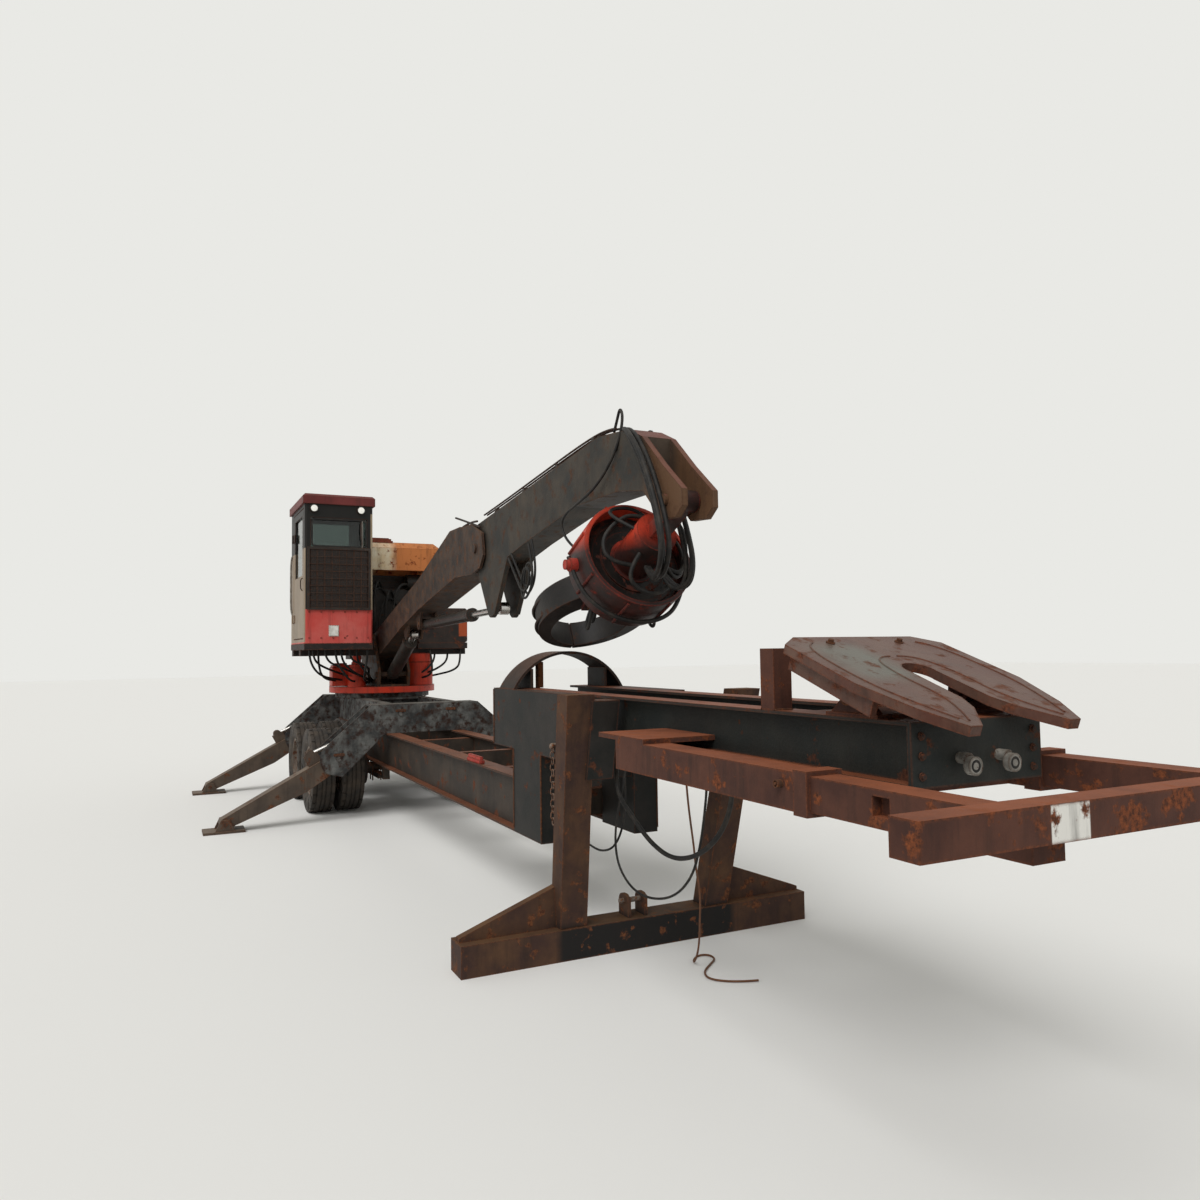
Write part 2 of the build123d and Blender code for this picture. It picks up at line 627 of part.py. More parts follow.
# Outrigger legs and their cylinders, built once in the plane across the trailer
leg_span_y = foot_pivot_y - pivot_y
leg_span_z = foot_pivot_z - pivot_z
leg_slope = degrees(atan2(leg_span_z, leg_span_y))
leg_length = hypot(leg_span_y, leg_span_z)
eye_y = pivot_y + leg_eye_reach * cos(radians(leg_eye_angle))
eye_z = pivot_z + leg_eye_reach * sin(radians(leg_eye_angle))
cylinder_length = hypot(eye_y - barrel_pin_y, eye_z - barrel_pin_z)
cylinder_slope = degrees(atan2(eye_z - barrel_pin_z, eye_y - barrel_pin_y))
barrel_length = 540.0
barrel_radius = 48.0
barrel_eye_radius = 53.0
rod_radius = 24.0
rod_start = 520.0
rod_eye_radius = 35.0
rod_eye_width = 44.0
ear_gap = 56.0
ear_thickness = 22.0
for beam_name, station in outrigger_stations.items():
    for side_name, side in (("right", -1), ("left", 1)):
        across = Plane((station, 0, 0), x_dir=(0, side, 0), z_dir=(side, 0, 0))
        # Leg: a tapered box about its pivot, two ears for the rod, and the foot's pad
        with BuildPart() as leg:
            leg_plane = Plane(
                (station, side * pivot_y, pivot_z),
                x_dir=(0, side * cos(radians(leg_slope)), sin(radians(leg_slope))),
                z_dir=(side, 0, 0),
            )
            with BuildSketch(leg_plane):
                with BuildLine():
                    Polyline(
                        (0, -leg_root_half),
                        (leg_length * 0.35, -leg_belly),
                        (leg_length, -leg_foot_half),
                        (leg_length, leg_foot_half),
                        (leg_length * 0.35, leg_back),
                        (60, leg_back),
                        (0, leg_root_half),
                        close=True,
                    )
                make_face()
                Circle(leg_root_half)
                with Locations((leg_length, 0)):
                    Circle(leg_foot_half)
            extrude(amount=leg_width / 2, both=True)
            for ear_side in (-1, 1):
                ear_x = station + ear_side * (ear_gap + ear_thickness) / 2
                with BuildSketch(Plane((ear_x, 0, 0), x_dir=(0, side, 0), z_dir=(side, 0, 0))):
                    with Locations((eye_y, eye_z)):
                        Circle(52)
                    with Locations(Location((eye_y, eye_z), leg_slope)):
                        Rectangle(150, 150, align=(Align.CENTER, Align.MAX))
                extrude(amount=ear_thickness / 2, both=True)
            with Locations((station, side * (foot_pivot_y + 10), pad_thickness / 2)):
                Box(pad_width, pad_length, pad_thickness)
            for ear_side in (-1, 1):
                with BuildSketch(Plane((station + ear_side * (leg_width / 2 + 15), 0, 0), x_dir=(0, side, 0), z_dir=(side, 0, 0))):
                    with BuildLine():
                        Polyline(
                            (foot_pivot_y - 100, pad_thickness - 5),
                            (foot_pivot_y + 100, pad_thickness - 5),
                            (foot_pivot_y + 45, foot_pivot_z + 45),
                            (foot_pivot_y - 45, foot_pivot_z + 45),
                            close=True,
                        )
                    make_face()
                extrude(amount=15, both=True)
            with Locations(Plane((station, side * pivot_y, pivot_z), x_dir=(0, 1, 0), z_dir=(1, 0, 0))):
                Cylinder(outrigger_pin_radius + 0.5, leg_width + 20, mode=Mode.SUBTRACT)
        save(leg.part, f"outrigger_leg_{beam_name}_{side_name}")

        along = Plane(
            (station, side * barrel_pin_y, barrel_pin_z),
            x_dir=(1, 0, 0),
            z_dir=(0, side * cos(radians(cylinder_slope)), sin(radians(cylinder_slope))),
        )
        # Barrel of the outrigger cylinder with its eye and gland
        with BuildPart() as barrel:
            with Locations(along.offset(30)):
                Cylinder(barrel_radius, barrel_length - 30, align=(Align.CENTER, Align.CENTER, Align.MIN))
            with Locations(Plane((station, side * barrel_pin_y, barrel_pin_z), x_dir=(0, 1, 0), z_dir=(1, 0, 0))):
                Cylinder(barrel_eye_radius, 64)
            with Locations(along.offset(barrel_length - 40)):
                Cylinder(barrel_radius + 6, 40, align=(Align.CENTER, Align.CENTER, Align.MIN))
            with Locations(along.offset(40)):
                Cylinder(rod_radius + 0.5, barrel_length, align=(Align.CENTER, Align.CENTER, Align.MIN), mode=Mode.SUBTRACT)
            with Locations(Plane((station, side * barrel_pin_y, barrel_pin_z), x_dir=(0, 1, 0), z_dir=(1, 0, 0))):
                Cylinder(barrel_pin_radius + 0.5, 3 * barrel_radius, mode=Mode.SUBTRACT)
        save(barrel.part, f"outrigger_barrel_{beam_name}_{side_name}")

        # Chrome rod with its eye
        with BuildPart() as rod:
            with Locations(along.offset(rod_start)):
                Cylinder(rod_radius, cylinder_length - rod_start, align=(Align.CENTER, Align.CENTER, Align.MIN))
            with Locations(Plane((station, side * eye_y, eye_z), x_dir=(0, 1, 0), z_dir=(1, 0, 0))):
                Cylinder(rod_eye_radius, rod_eye_width)
                Cylinder(20, rod_eye_width, mode=Mode.SUBTRACT)
        save(rod.part, f"outrigger_rod_{beam_name}_{side_name}")

# Turntable: the turning ring with its drive housings, and the mast that carries the boom
with BuildPart() as turntable:
    with Locations((slew_x, 0, base_ring_top_z + ring_gap)):
        Cylinder(ring_radius, ring_top_z - base_ring_top_z - ring_gap, align=(Align.CENTER, Align.CENTER, Align.MIN))
        Cylinder(430, 200, align=(Align.CENTER, Align.CENTER, Align.MIN), mode=Mode.SUBTRACT)
    with Locations((slew_x, 0, ring_top_z - 20)):
        Cylinder(440, 20, align=(Align.CENTER, Align.CENTER, Align.MIN))
    for drive_x, drive_y, drive_radius, drive_height in ((430, -440, 120, 260), (-430, 440, 120, 260)):
        with Locations((slew_x + drive_x, drive_y, ring_top_z - 5)):
            Cylinder(drive_radius, drive_height, align=(Align.CENTER, Align.CENTER, Align.MIN))
save(turntable.part, "turntable")

with BuildPart() as mast:
    for side in (-1, 1):
        with BuildSketch(at_y(side * (mast_plate_y - mast_plate_thickness / 2))):
            with BuildLine():
                Polyline(
                    (slew_x - 380, ring_top_z),
                    (slew_x + 690, ring_top_z),
                    (lift_base_x + 110, lift_base_z + 40),
                    (boom_pivot_x + 165, boom_pivot_z + 60),
                    (boom_pivot_x + 60, boom_pivot_z + 165),
                    (boom_pivot_x - 130, boom_pivot_z + 120),
                    (slew_x - 380, boom_pivot_z - 120),
                    close=True,
                )
            make_face()
        extrude(amount=mast_plate_thickness / 2, both=True)
    inner = mast_plate_y - mast_plate_thickness / 2
    box_between((slew_x - 380, slew_x - 350), (-inner, inner), (ring_top_z, boom_pivot_z - 130))
    box_between((slew_x - 380, slew_x + 690), (-inner, inner), (ring_top_z, ring_top_z + 25))
    pin_across(boom_pivot_x, boom_pivot_z, mast_plate_y + 20, 50)
    pin_across(lift_base_x, lift_base_z, mast_plate_y + 20, 35)
save(mast.part, "mast")

# Platform: arms from the mast to the cab's floor, the tank's bed and the engine's bed
platform_parts = (
    ((-300, -150), (-1180, -mast_plate_y), (platform_low_z, 1960)),
    ((380, 520), (-1180, -mast_plate_y), (platform_low_z, 1960)),
    ((-300, -150), (mast_plate_y, 1050), (platform_low_z, 1960)),
    ((380, 520), (mast_plate_y, 1050), (platform_low_z, 1960)),
    ((-250, 1000), (-1200, -345), (1960, platform_top_z)),
    ((-300, 620), (350, 1050), (1960, platform_top_z)),
    ((-1700, -280), (-300, 950), (1960, platform_top_z)),
    ((-1600, -380), (-mast_plate_y, -mast_plate_y + 90), (platform_low_z - 60, 1960)),
    ((-1600, -380), (mast_plate_y - 90, mast_plate_y), (platform_low_z - 60, 1960)),
)

with BuildPart() as platform:
    for x_range, y_range, z_range in platform_parts:
        box_between((slew_x + x_range[0], slew_x + x_range[1]), y_range, z_range)
save(platform.part, "platform")

# Cab shell: hollow, with the door's opening on the right, windows on the other sides and
# two round lamps above the front window
cab_x = (cab_rear_x, cab_front_x)
cab_y = (cab_right_y, cab_left_y)
inner_x = (cab_rear_x + cab_wall, cab_front_x - cab_wall)
inner_y = (cab_right_y + cab_wall, cab_left_y - cab_wall)
cab_floor_thickness = 40.0
cab_floor_z = platform_top_z + cab_floor_thickness
window_top_z = cab_head_z - side_window_margin
front_window_top_z = cab_head_z - 175
lamp_z = cab_head_z - 60
lamp_radius = 50.0
lamp_depth = 30.0

with BuildPart() as cab_shell:
    box_between(cab_x, cab_y, (platform_top_z, cab_head_z))
    edges_up = cab_shell.edges().filter_by(Axis.Z)
    fillet(edges_up, 30)
    box_between(inner_x, inner_y, (cab_floor_z, cab_head_z + 10), Mode.SUBTRACT)
    front_window_y = (cab_right_y + window_margin, cab_left_y - window_margin)
    box_between((cab_front_x - 100, cab_front_x + 50), front_window_y, (guard_low_z, front_window_top_z), Mode.SUBTRACT)
    side_window_x = (cab_rear_x + 120, cab_front_x - 120)
    side_window_z = (side_window_low_z, window_top_z)
    box_between(side_window_x, (cab_left_y - 100, cab_left_y + 50), side_window_z, Mode.SUBTRACT)
    rear_window_z = (rear_window_low_z, window_top_z)
    box_between((cab_rear_x - 50, cab_rear_x + 100), front_window_y, rear_window_z, Mode.SUBTRACT)
    door_z = (platform_top_z + 60, cab_head_z - 45)
    box_between((door_rear_x, door_front_x), (cab_right_y - 50, cab_right_y + 100), door_z, Mode.SUBTRACT)
    for lamp_y in (cab_right_y + 112, cab_left_y - 155):
        with Locations(Plane((cab_front_x - 5, lamp_y, lamp_z), x_dir=(0, 1, 0), z_dir=(1, 0, 0))):
            Cylinder(lamp_radius, lamp_depth, align=(Align.CENTER, Align.CENTER, Align.MIN))
save(cab_shell.part, "cab_shell")

# Cab roof: a shallow cap with bevelled edges
with BuildPart() as cab_roof:
    roof_x = (cab_rear_x - roof_overhang, cab_front_x + roof_overhang)
    roof_y = (cab_right_y - roof_overhang, cab_left_y + roof_overhang)
    box_between(roof_x, roof_y, (cab_head_z, cab_head_z + cab_roof_height))
    chamfer(cab_roof.faces().sort_by(Axis.Z)[-1].edges(), 30)
save(cab_roof.part, "cab_roof")

# Guard of crossed bars over the lower front window
with BuildPart() as cab_guard:
    guard_x = (cab_front_x, cab_front_x + 22)
    guard_y = (cab_right_y + 30, cab_left_y - 30)
    box_between(guard_x, guard_y, (guard_low_z - 20, guard_top_z))
    box_between((guard_x[0] - 5, guard_x[1] + 5), (guard_y[0] + 30, guard_y[1] - 30), (guard_low_z + 10, guard_top_z - 30), Mode.SUBTRACT)
    bar_count_y = 8
    bar_count_z = 8
    for index in range(1, bar_count_y):
        bar_y = guard_y[0] + 30 + index * (guard_y[1] - guard_y[0] - 60) / bar_count_y
        box_between((guard_x[0] + 4, guard_x[0] + 14), (bar_y - 5, bar_y + 5), (guard_low_z, guard_top_z - 20))
    for index in range(1, bar_count_z):
        bar_z = guard_low_z + 10 + index * (guard_top_z - guard_low_z - 40) / bar_count_z
        box_between((guard_x[0] + 8, guard_x[0] + 18), (guard_y[0] + 20, guard_y[1] - 20), (bar_z - 5, bar_z + 5))
save(cab_guard.part, "cab_guard")

# Window panes, separate sheets in the openings of the shell
glass_gap = 0.5
with BuildPart() as cab_glass:
    front_pane_y = (front_window_y[0] + glass_gap, front_window_y[1] - glass_gap)
    front_pane_z = (guard_low_z + glass_gap, front_window_top_z - glass_gap)
    box_between((cab_front_x - 30, cab_front_x - 24), front_pane_y, front_pane_z)
    side_pane_x = (side_window_x[0] + glass_gap, side_window_x[1] - glass_gap)
    side_pane_z = (side_window_low_z + glass_gap, window_top_z - glass_gap)
    box_between(side_pane_x, (cab_left_y - 30, cab_left_y - 24), side_pane_z)
    rear_pane_z = (rear_window_low_z + glass_gap, window_top_z - glass_gap)
    box_between((cab_rear_x + 24, cab_rear_x + 30), front_pane_y, rear_pane_z)
save(cab_glass.part, "cab_glass")

# Seat on its pedestal, with a control post on each side
seat_x = cab_rear_x + 420
seat_y = (cab_right_y + cab_left_y) / 2

with BuildPart() as cab_seat:
    box_between((seat_x - 120, seat_x + 120), (seat_y - 120, seat_y + 120), (cab_floor_z, cab_floor_z + 260))
    box_between((seat_x - 240, seat_x + 240), (seat_y - 230, seat_y + 230), (cab_floor_z + 255, cab_floor_z + 370))
    box_between((seat_x - 260, seat_x - 150), (seat_y - 220, seat_y + 220), (cab_floor_z + 360, cab_floor_z + 980))
    for side in (-1, 1):
        box_between((seat_x - 60, seat_x + 220), (seat_y + side * 235, seat_y + side * 330), (cab_floor_z, cab_floor_z + 560))
save(cab_seat.part, "cab_seat")

# Cab door: a panel with its window cut out, hinged at its rear edge
with BuildPart() as cab_door:
    panel_x = (door_rear_x + door_gap, door_front_x - door_gap)
    panel_z = (door_z[0] + door_gap, door_z[1] - door_gap)
    box_between(panel_x, (cab_right_y, cab_right_y + cab_wall), panel_z)
    door_window_x = (panel_x[0] + door_frame, panel_x[1] - door_frame)
    door_window_z = (door_window_low_z, panel_z[1] - door_frame)
    box_between(door_window_x, (cab_right_y - 20, cab_right_y + 80), door_window_z, Mode.SUBTRACT)
    for hinge_z in (panel_z[0] + 0.15 * cab_height, panel_z[1] - 0.17 * cab_height):
        with Locations((door_rear_x, cab_right_y - 16, hinge_z)):
            Cylinder(14, 110)
        box_between((door_rear_x, door_rear_x + 110), (cab_right_y - 12, cab_right_y + 1), (hinge_z - 50, hinge_z + 50))
save(cab_door.part, "cab_door")

# Pane of the door's window
with BuildPart() as cab_door_glass:
    pane_x = (door_window_x[0] + glass_gap, door_window_x[1] - glass_gap)
    pane_z = (door_window_z[0] + glass_gap, door_window_z[1] - glass_gap)
    box_between(pane_x, (cab_right_y + 20, cab_right_y + 26), pane_z)
save(cab_door_glass.part, "cab_door_glass")

# Engine hood: an open-bottomed sheet box with bevelled edges and side louvres, open at the
# front and the rear below its cap
with BuildPart() as engine_hood:
    hood_y = (hood_right_y, hood_left_y)
    box_between((hood_rear_x, hood_front_x), hood_y, (platform_top_z, hood_top_z))
    chamfer(engine_hood.faces().sort_by(Axis.Z)[-1].edges(), 90)
    box_between(
        (hood_rear_x + 12, hood_front_x - 12),
        (hood_y[0] + 12, hood_y[1] - 12),
        (platform_top_z - 10, hood_top_z - 100),
        Mode.SUBTRACT,
    )
    box_between(
        (hood_rear_x + 100, hood_front_x - 100),
        (hood_y[0] + 100, hood_y[1] - 100),
        (hood_top_z - 110, hood_top_z - 12),
        Mode.SUBTRACT,
    )
    bay_y = (hood_y[0] + hood_post, hood_y[1] - hood_post)
    bay_z = (platform_top_z + hood_post, hood_bay_top_z)
    box_between((hood_rear_x - 10, hood_front_x + 10), bay_y, bay_z, Mode.SUBTRACT)
    louvre_count = 7
    for index in range(louvre_count):
        louvre_z = platform_top_z + 420 + index * 110
        box_between((hood_rear_x + 250, hood_front_x - 250), (hood_y[0] - 5, hood_y[0] + 40), (louvre_z, louvre_z + 45), Mode.SUBTRACT)
        box_between((hood_rear_x + 250, hood_front_x - 250), (hood_y[1] - 40, hood_y[1] + 5), (louvre_z, louvre_z + 45), Mode.SUBTRACT)
save(engine_hood.part, "engine_hood")

# Engine: one plain block at its real place
with BuildPart() as engine_block:
    box_between((hood_rear_x + 230, hood_front_x - 230), (hood_right_y + 330, hood_left_y - 330), (platform_top_z, platform_top_z + 820))
save(engine_block.part, "engine_block")

# Oil tank: a closed sheet box with rounded edges and a filler neck
with BuildPart() as oil_tank:
    box_between((tank_rear_x, tank_front_x), (tank_right_y, tank_left_y), (platform_top_z, tank_top_z))
    fillet(oil_tank.edges().filter_by(Axis.X), 40)
    with Locations(((tank_rear_x + tank_front_x) / 2, (tank_right_y + tank_left_y) / 2, tank_top_z - 5)):
        Cylinder(50, 70, align=(Align.CENTER, Align.CENTER, Align.MIN))
    box_between(
        (tank_rear_x + 6, tank_front_x - 6),
        (tank_right_y + 6, tank_left_y - 6),
        (platform_top_z + 6, tank_top_z - 46),
        Mode.SUBTRACT,
    )
save(oil_tank.part, "oil_tank")

# Main boom: a hollow box that bends upward, a foot boss, the knuckle's fork and the ears
boom_box = [(230, 2178), (2585, 2746), (3850, 3150), (4200, 3150), (4200, 2690), (2600, 2405), (1750, 2215), (420, 1850)]
boom_fork = [(3900, 2660), (3900, 3150), (4560, 3130), (4860, 3010), (4900, 2800), (4800, 2690), (4560, 2650)]
boom_outline = [(slew_x + x, z) for x, z in boom_box]
fork_outline = [(slew_x + x, z) for x, z in boom_fork]
foot_radius = 190.0
boom_wall = 14.0

with BuildPart() as main_boom:
    with BuildSketch(Plane.XZ):
        with BuildLine():
            Polyline(*boom_outline, close=True)
        make_face()
        with Locations((boom_pivot_x, boom_pivot_z)):
            Circle(foot_radius)
    extrude(amount=boom_half_width, both=True)
    with BuildSketch(Plane.XZ):
        with BuildLine():
            Polyline(*boom_outline, close=True)
        make_face()
        offset(amount=-boom_wall)
        with Locations((boom_pivot_x, boom_pivot_z)):
            Circle(foot_radius + 40, mode=Mode.SUBTRACT)
    extrude(amount=boom_half_width - boom_wall, both=True, mode=Mode.SUBTRACT)
    for side in (-1, 1):
        with BuildSketch(at_y(side * (boom_half_width - boom_plate / 2))):
            with BuildLine():
                Polyline(*fork_outline, close=True)
            make_face()
        extrude(amount=boom_plate / 2, both=True)
    for side in (-1, 1):
        with BuildSketch(at_y(side * 88)):
            with BuildLine():
                Polyline(
                    (lift_eye_x - 130, lift_eye_z + 75),
                    (lift_eye_x - 60, lift_eye_z - 20),
                    (lift_eye_x + 60, lift_eye_z - 20),
                    (lift_eye_x + 130, lift_eye_z + 115),
                    close=True,
                )
            make_face()
            with Locations((lift_eye_x, lift_eye_z)):
                Circle(62)
            with BuildLine():
                Polyline(
                    (stick_base_x - 110, stick_base_z + 110),
                    (stick_base_x - 60, stick_base_z - 20),
                    (stick_base_x + 60, stick_base_z - 20),
                    (stick_base_x + 110, stick_base_z + 155),
                    close=True,
                )
            make_face()
            with Locations((stick_base_x, stick_base_z)):
                Circle(62)
        extrude(amount=12, both=True)
    pin_across(boom_pivot_x, boom_pivot_z, boom_half_width + 5, 50.5, Mode.SUBTRACT)
    pin_across(knuckle_x, knuckle_z, boom_half_width + 20, 45)
    pin_across(stick_base_x, stick_base_z, 110, 35)
save(main_boom.part, "main_boom")

# Stick: a hollow box, the heel under the knuckle and the two nose plates
stick_box = [
    (4560, 2700), (4490, 2880), (4560, 3110), (7270, 3385), (7720, 3335), (7900, 3250),
    (7900, 2900), (7650, 2955), (6870, 2955), (5850, 2800), (5300, 2700),
]
stick_heel = [(4600, 2710), (5450, 2735), (5090, 2240), (4930, 2240)]
stick_nose = [
    (7550, 3345), (7720, 3335), (7900, 3250), (8140, 3030), (8370, 2840), (8370, 2740),
    (8290, 2680), (8120, 2690), (7900, 2900), (7550, 2955),
]
stick_outline = [(slew_x + x, z) for x, z in stick_box]
heel_outline = [(slew_x + x, z) for x, z in stick_heel]
nose_outline = [(slew_x + x, z) for x, z in stick_nose]
stick_wall = 12.0
knuckle_clearance = 0.5

with BuildPart() as stick:
    with BuildSketch(Plane.XZ):
        with BuildLine():
            Polyline(*stick_outline, close=True)
        make_face()
    extrude(amount=stick_half_width, both=True)
    with BuildSketch(Plane.XZ):
        with BuildLine():
            Polyline(*stick_outline, close=True)
        make_face()
        offset(amount=-stick_wall)
        with Locations((knuckle_x, knuckle_z)):
            Circle(120, mode=Mode.SUBTRACT)
    extrude(amount=stick_half_width - stick_wall, both=True, mode=Mode.SUBTRACT)
    for side in (-1, 1):
        with BuildSketch(at_y(side * (stick_half_width - 20))):
            with BuildLine():
                Polyline(*heel_outline, close=True)
            make_face()
            with Locations((heel_x, heel_z)):
                Circle(85)
            with BuildLine():
                Polyline(*nose_outline, close=True)
            make_face()
        extrude(amount=20, both=True)
    pin_across(knuckle_x, knuckle_z, boom_half_width, 45 + knuckle_clearance, Mode.SUBTRACT)
    pin_across(nose_x, nose_z, stick_half_width + 20, 35)
save(stick.part, "stick")

# Lift and stick cylinders: a barrel with its base eye, and a rod with its eye
cylinder_table = {
    # name: base x and z, eye x and z, barrel radius, rod radius, barrel length, rod start
    "lift": (lift_base_x, lift_base_z, lift_eye_x, lift_eye_z, 85.0, 45.0, 1040.0, 110.0),
    "stick": (stick_base_x, stick_base_z, heel_x, heel_z, 62.0, 34.0, 1740.0, 1560.0),
}
eye_half = 70.0
base_pin_radius = 35.0

for name, row in cylinder_table.items():
    base_x, base_z, eye_x, eye_z, barrel_r, rod_r, barrel_l, rod_from = row
    slope = atan2(eye_z - base_z, eye_x - base_x)
    span = hypot(eye_x - base_x, eye_z - base_z)
    along = Plane((base_x, 0, base_z), x_dir=(0, 1, 0), z_dir=(cos(slope), 0, sin(slope)))
    with BuildPart() as barrel:
        with Locations(along.offset(40)):
            Cylinder(barrel_r, barrel_l - 40, align=(Align.CENTER, Align.CENTER, Align.MIN))
        with Locations(along.offset(barrel_l - 50)):
            Cylinder(barrel_r + 8, 50, align=(Align.CENTER, Align.CENTER, Align.MIN))
        pin_across(base_x, base_z, eye_half, 65)
        with Locations(along.offset(90)):
            Cylinder(rod_r + 0.5, barrel_l, align=(Align.CENTER, Align.CENTER, Align.MIN), mode=Mode.SUBTRACT)
        pin_across(base_x, base_z, barrel_r + 15, base_pin_radius + 0.5, Mode.SUBTRACT)
    save(barrel.part, f"{name}_barrel")
    with BuildPart() as rod:
        with Locations(along.offset(rod_from)):
            Cylinder(rod_r, span - rod_from, align=(Align.CENTER, Align.CENTER, Align.MIN))
        pin_across(eye_x, eye_z, eye_half - 30, 58)
        pin_across(eye_x, eye_z, eye_half, 30, Mode.SUBTRACT)
    save(rod.part, f"{name}_rod")

# Grapple planes: the axis from the nose pin, and the plane in which the tines swing
axis_angle = radians(grapple_direction)
grapple_axis = (cos(axis_angle), 0, sin(axis_angle))
tine_normal = (-sin(axis_angle), 0, cos(axis_angle))
tine_plane = Plane((nose_x, 0, nose_z), x_dir=grapple_axis, z_dir=tine_normal)


def grapple_station(reach):
    """The plane square to the grapple's axis at a distance from the nose pin."""
    origin = (nose_x + reach * grapple_axis[0], 0, nose_z + reach * grapple_axis[2])
    return Plane(origin, x_dir=(0, 1, 0), z_dir=grapple_axis)


# Hanger: the link from the nose pin with the rotator's round housing
with BuildPart() as grapple_hanger:
    with BuildSketch(tine_plane):
        Rectangle(hanger_length, 130, align=(Align.MIN, Align.CENTER))
    extrude(amount=45, both=True)
    pin_across(nose_x, nose_z, 78, 68)
    with Locations(grapple_station(hanger_length - 60)):
        Cylinder(rotator_radius, rotator_end - hanger_length + 60 - ring_gap, align=(Align.CENTER, Align.CENTER, Align.MIN))
    pin_across(nose_x, nose_z, 90, 35.5, Mode.SUBTRACT)
save(grapple_hanger.part, "grapple_hanger")

# Grapple head: a round flange and two cheek plates that hold the tines' pins
with BuildPart() as grapple_head:
    with Locations(grapple_station(rotator_end)):
        Cylinder(165, 40, align=(Align.CENTER, Align.CENTER, Align.MIN))
    for side in (-1, 1):
        with BuildSketch(tine_plane.offset(side * 118)):
            with BuildLine():
                Polyline(
                    (rotator_end + 30, -120),
                    (rotator_end + 30, 120),
                    (tine_pivot_reach - 60, tine_pivot_half + 85),
                    (tine_pivot_reach + 70, tine_pivot_half + 60),
                    (tine_pivot_reach + 70, -tine_pivot_half - 60),
                    (tine_pivot_reach - 60, -tine_pivot_half - 85),
                    close=True,
                )
            make_face()
        extrude(amount=12, both=True)
    for side in (-1, 1):
        with BuildSketch(tine_plane):
            with Locations((tine_pivot_reach, side * tine_pivot_half)):
                Circle(32)
        extrude(amount=150, both=True)
    with BuildSketch(tine_plane):
        with Locations((rotator_end + 110, 0)):
            Rectangle(180, 160)
    extrude(amount=118, both=True)
save(grapple_head.part, "grapple_head")

# Tines: two curved jaws that close tip to tip
tip_gap = 6.0
for side_name, side in (("right", -1), ("left", 1)):
    with BuildPart() as tine:
        with BuildSketch(tine_plane):
            with BuildLine():
                ThreePointArc(
                    (tine_pivot_reach - 80, side * (tine_pivot_half + 75)),
                    (1490, side * tine_bulge),
                    (tine_tip_reach, side * tip_gap),
                )
                Line((tine_tip_reach, side * tip_gap), (tine_tip_reach - 50, side * tip_gap))
                ThreePointArc(
                    (tine_tip_reach - 50, side * tip_gap),
                    (1500, side * (tine_bulge - 115)),
                    (tine_pivot_reach + 70, side * (tine_pivot_half - 30)),
                )
                Line(
                    (tine_pivot_reach + 70, side * (tine_pivot_half - 30)),
                    (tine_pivot_reach - 80, side * (tine_pivot_half + 75)),
                )
            make_face()
            with Locations((tine_pivot_reach, side * tine_pivot_half)):
                Circle(78)
        extrude(amount=tine_depth, both=True)
        with BuildSketch(tine_plane):
            with Locations((tine_pivot_reach, side * tine_pivot_half)):
                Circle(32.5)
        extrude(amount=tine_depth + 10, both=True, mode=Mode.SUBTRACT)
    save(tine.part, f"grapple_tine_{side_name}")

# Free hoses and the wire, as straight runs joined by tangent arcs. Each hangs from the
# underside of the gooseneck's beam, and the wire ends in a curl on the ground.
cord_table = {
    "hose_a": (26.0, [
        (7770, -275, 1370), (7770, -275, 1190), (7865, -318, 1020), (8096, -330, 912), (8279, -330, 813),
        (8511, -330, 763), (8739, -330, 808), (8936, -325, 917), (9035, -300, 1055), (9050, -275, 1210),
        (9050, -275, 1370),
    ]),
    "hose_b": (14.0, [
        (7905, -275, 1370), (7905, -275, 1225), (7880, -285, 1070), (7825, -300, 900), (7785, -300, 735),
        (7820, -300, 590), (7950, -300, 500), (8110, -300, 470), (8275, -300, 485), (8440, -300, 530),
        (8580, -300, 605), (8700, -300, 720), (8770, -300, 870), (8805, -292, 1035), (8812, -275, 1205),
        (8812, -275, 1370),
    ]),
    "hose_d": (14.0, [
        (6435, -115, 735), (6570, -115, 735), (6730, -140, 685), (6890, -165, 640), (7060, -195, 610),
        (7220, -225, 603), (7390, -260, 607), (7545, -275, 612), (7690, -265, 655), (7790, -255, 770),
        (7835, -250, 920), (7850, -255, 1070), (7850, -265, 1225), (7850, -265, 1370),
    ]),
    "wire_c": (12.0, [
        (8540, -240, 1370), (8540, -240, 1250), (8475, -195, 1130), (8435, -160, 1010), (8410, -130, 890),
        (8385, -100, 780), (8360, -75, 660), (8345, -45, 540), (8315, -20, 430), (8265, 5, 320),
        (8210, 35, 200), (8155, 55, 90), (8085, 70, 12), (8010, 115, 8), (7965, 180, 8), (7990, 240, 8),
        (8070, 235, 8), (8140, 150, 8), (8225, 50, 8), (8330, 10, 8), (8415, 75, 8), (8470, 180, 8),
        (8490, 250, 8),
    ]),
}

for name, (diameter, offsets) in cord_table.items():
    points = [Vector(slew_x + x, y, z) for x, y, z in offsets]
    runs = [after - before for before, after in zip(points, points[1:])]
    radii = []
    for before, after in zip(runs, runs[1:]):
        half_turn = radians(before.get_angle(after)) / 2
        radii.append(0.45 * min(before.length, after.length) / tan(half_turn))
    with BuildPart() as cord:
        with BuildLine() as route:
            FilletPolyline(*points, radius=radii)
        with BuildSketch(Plane(origin=points[0], z_dir=runs[0])):
            Circle(diameter / 2)
        sweep(path=route.wires()[0])
    expected = pi * diameter**2 / 4 * route.wires()[0].length
    print(name, "smallest radius", round(min(radii)), "volume ratio", round(cord.part.volume / expected, 4))
    save(cord.part, name)
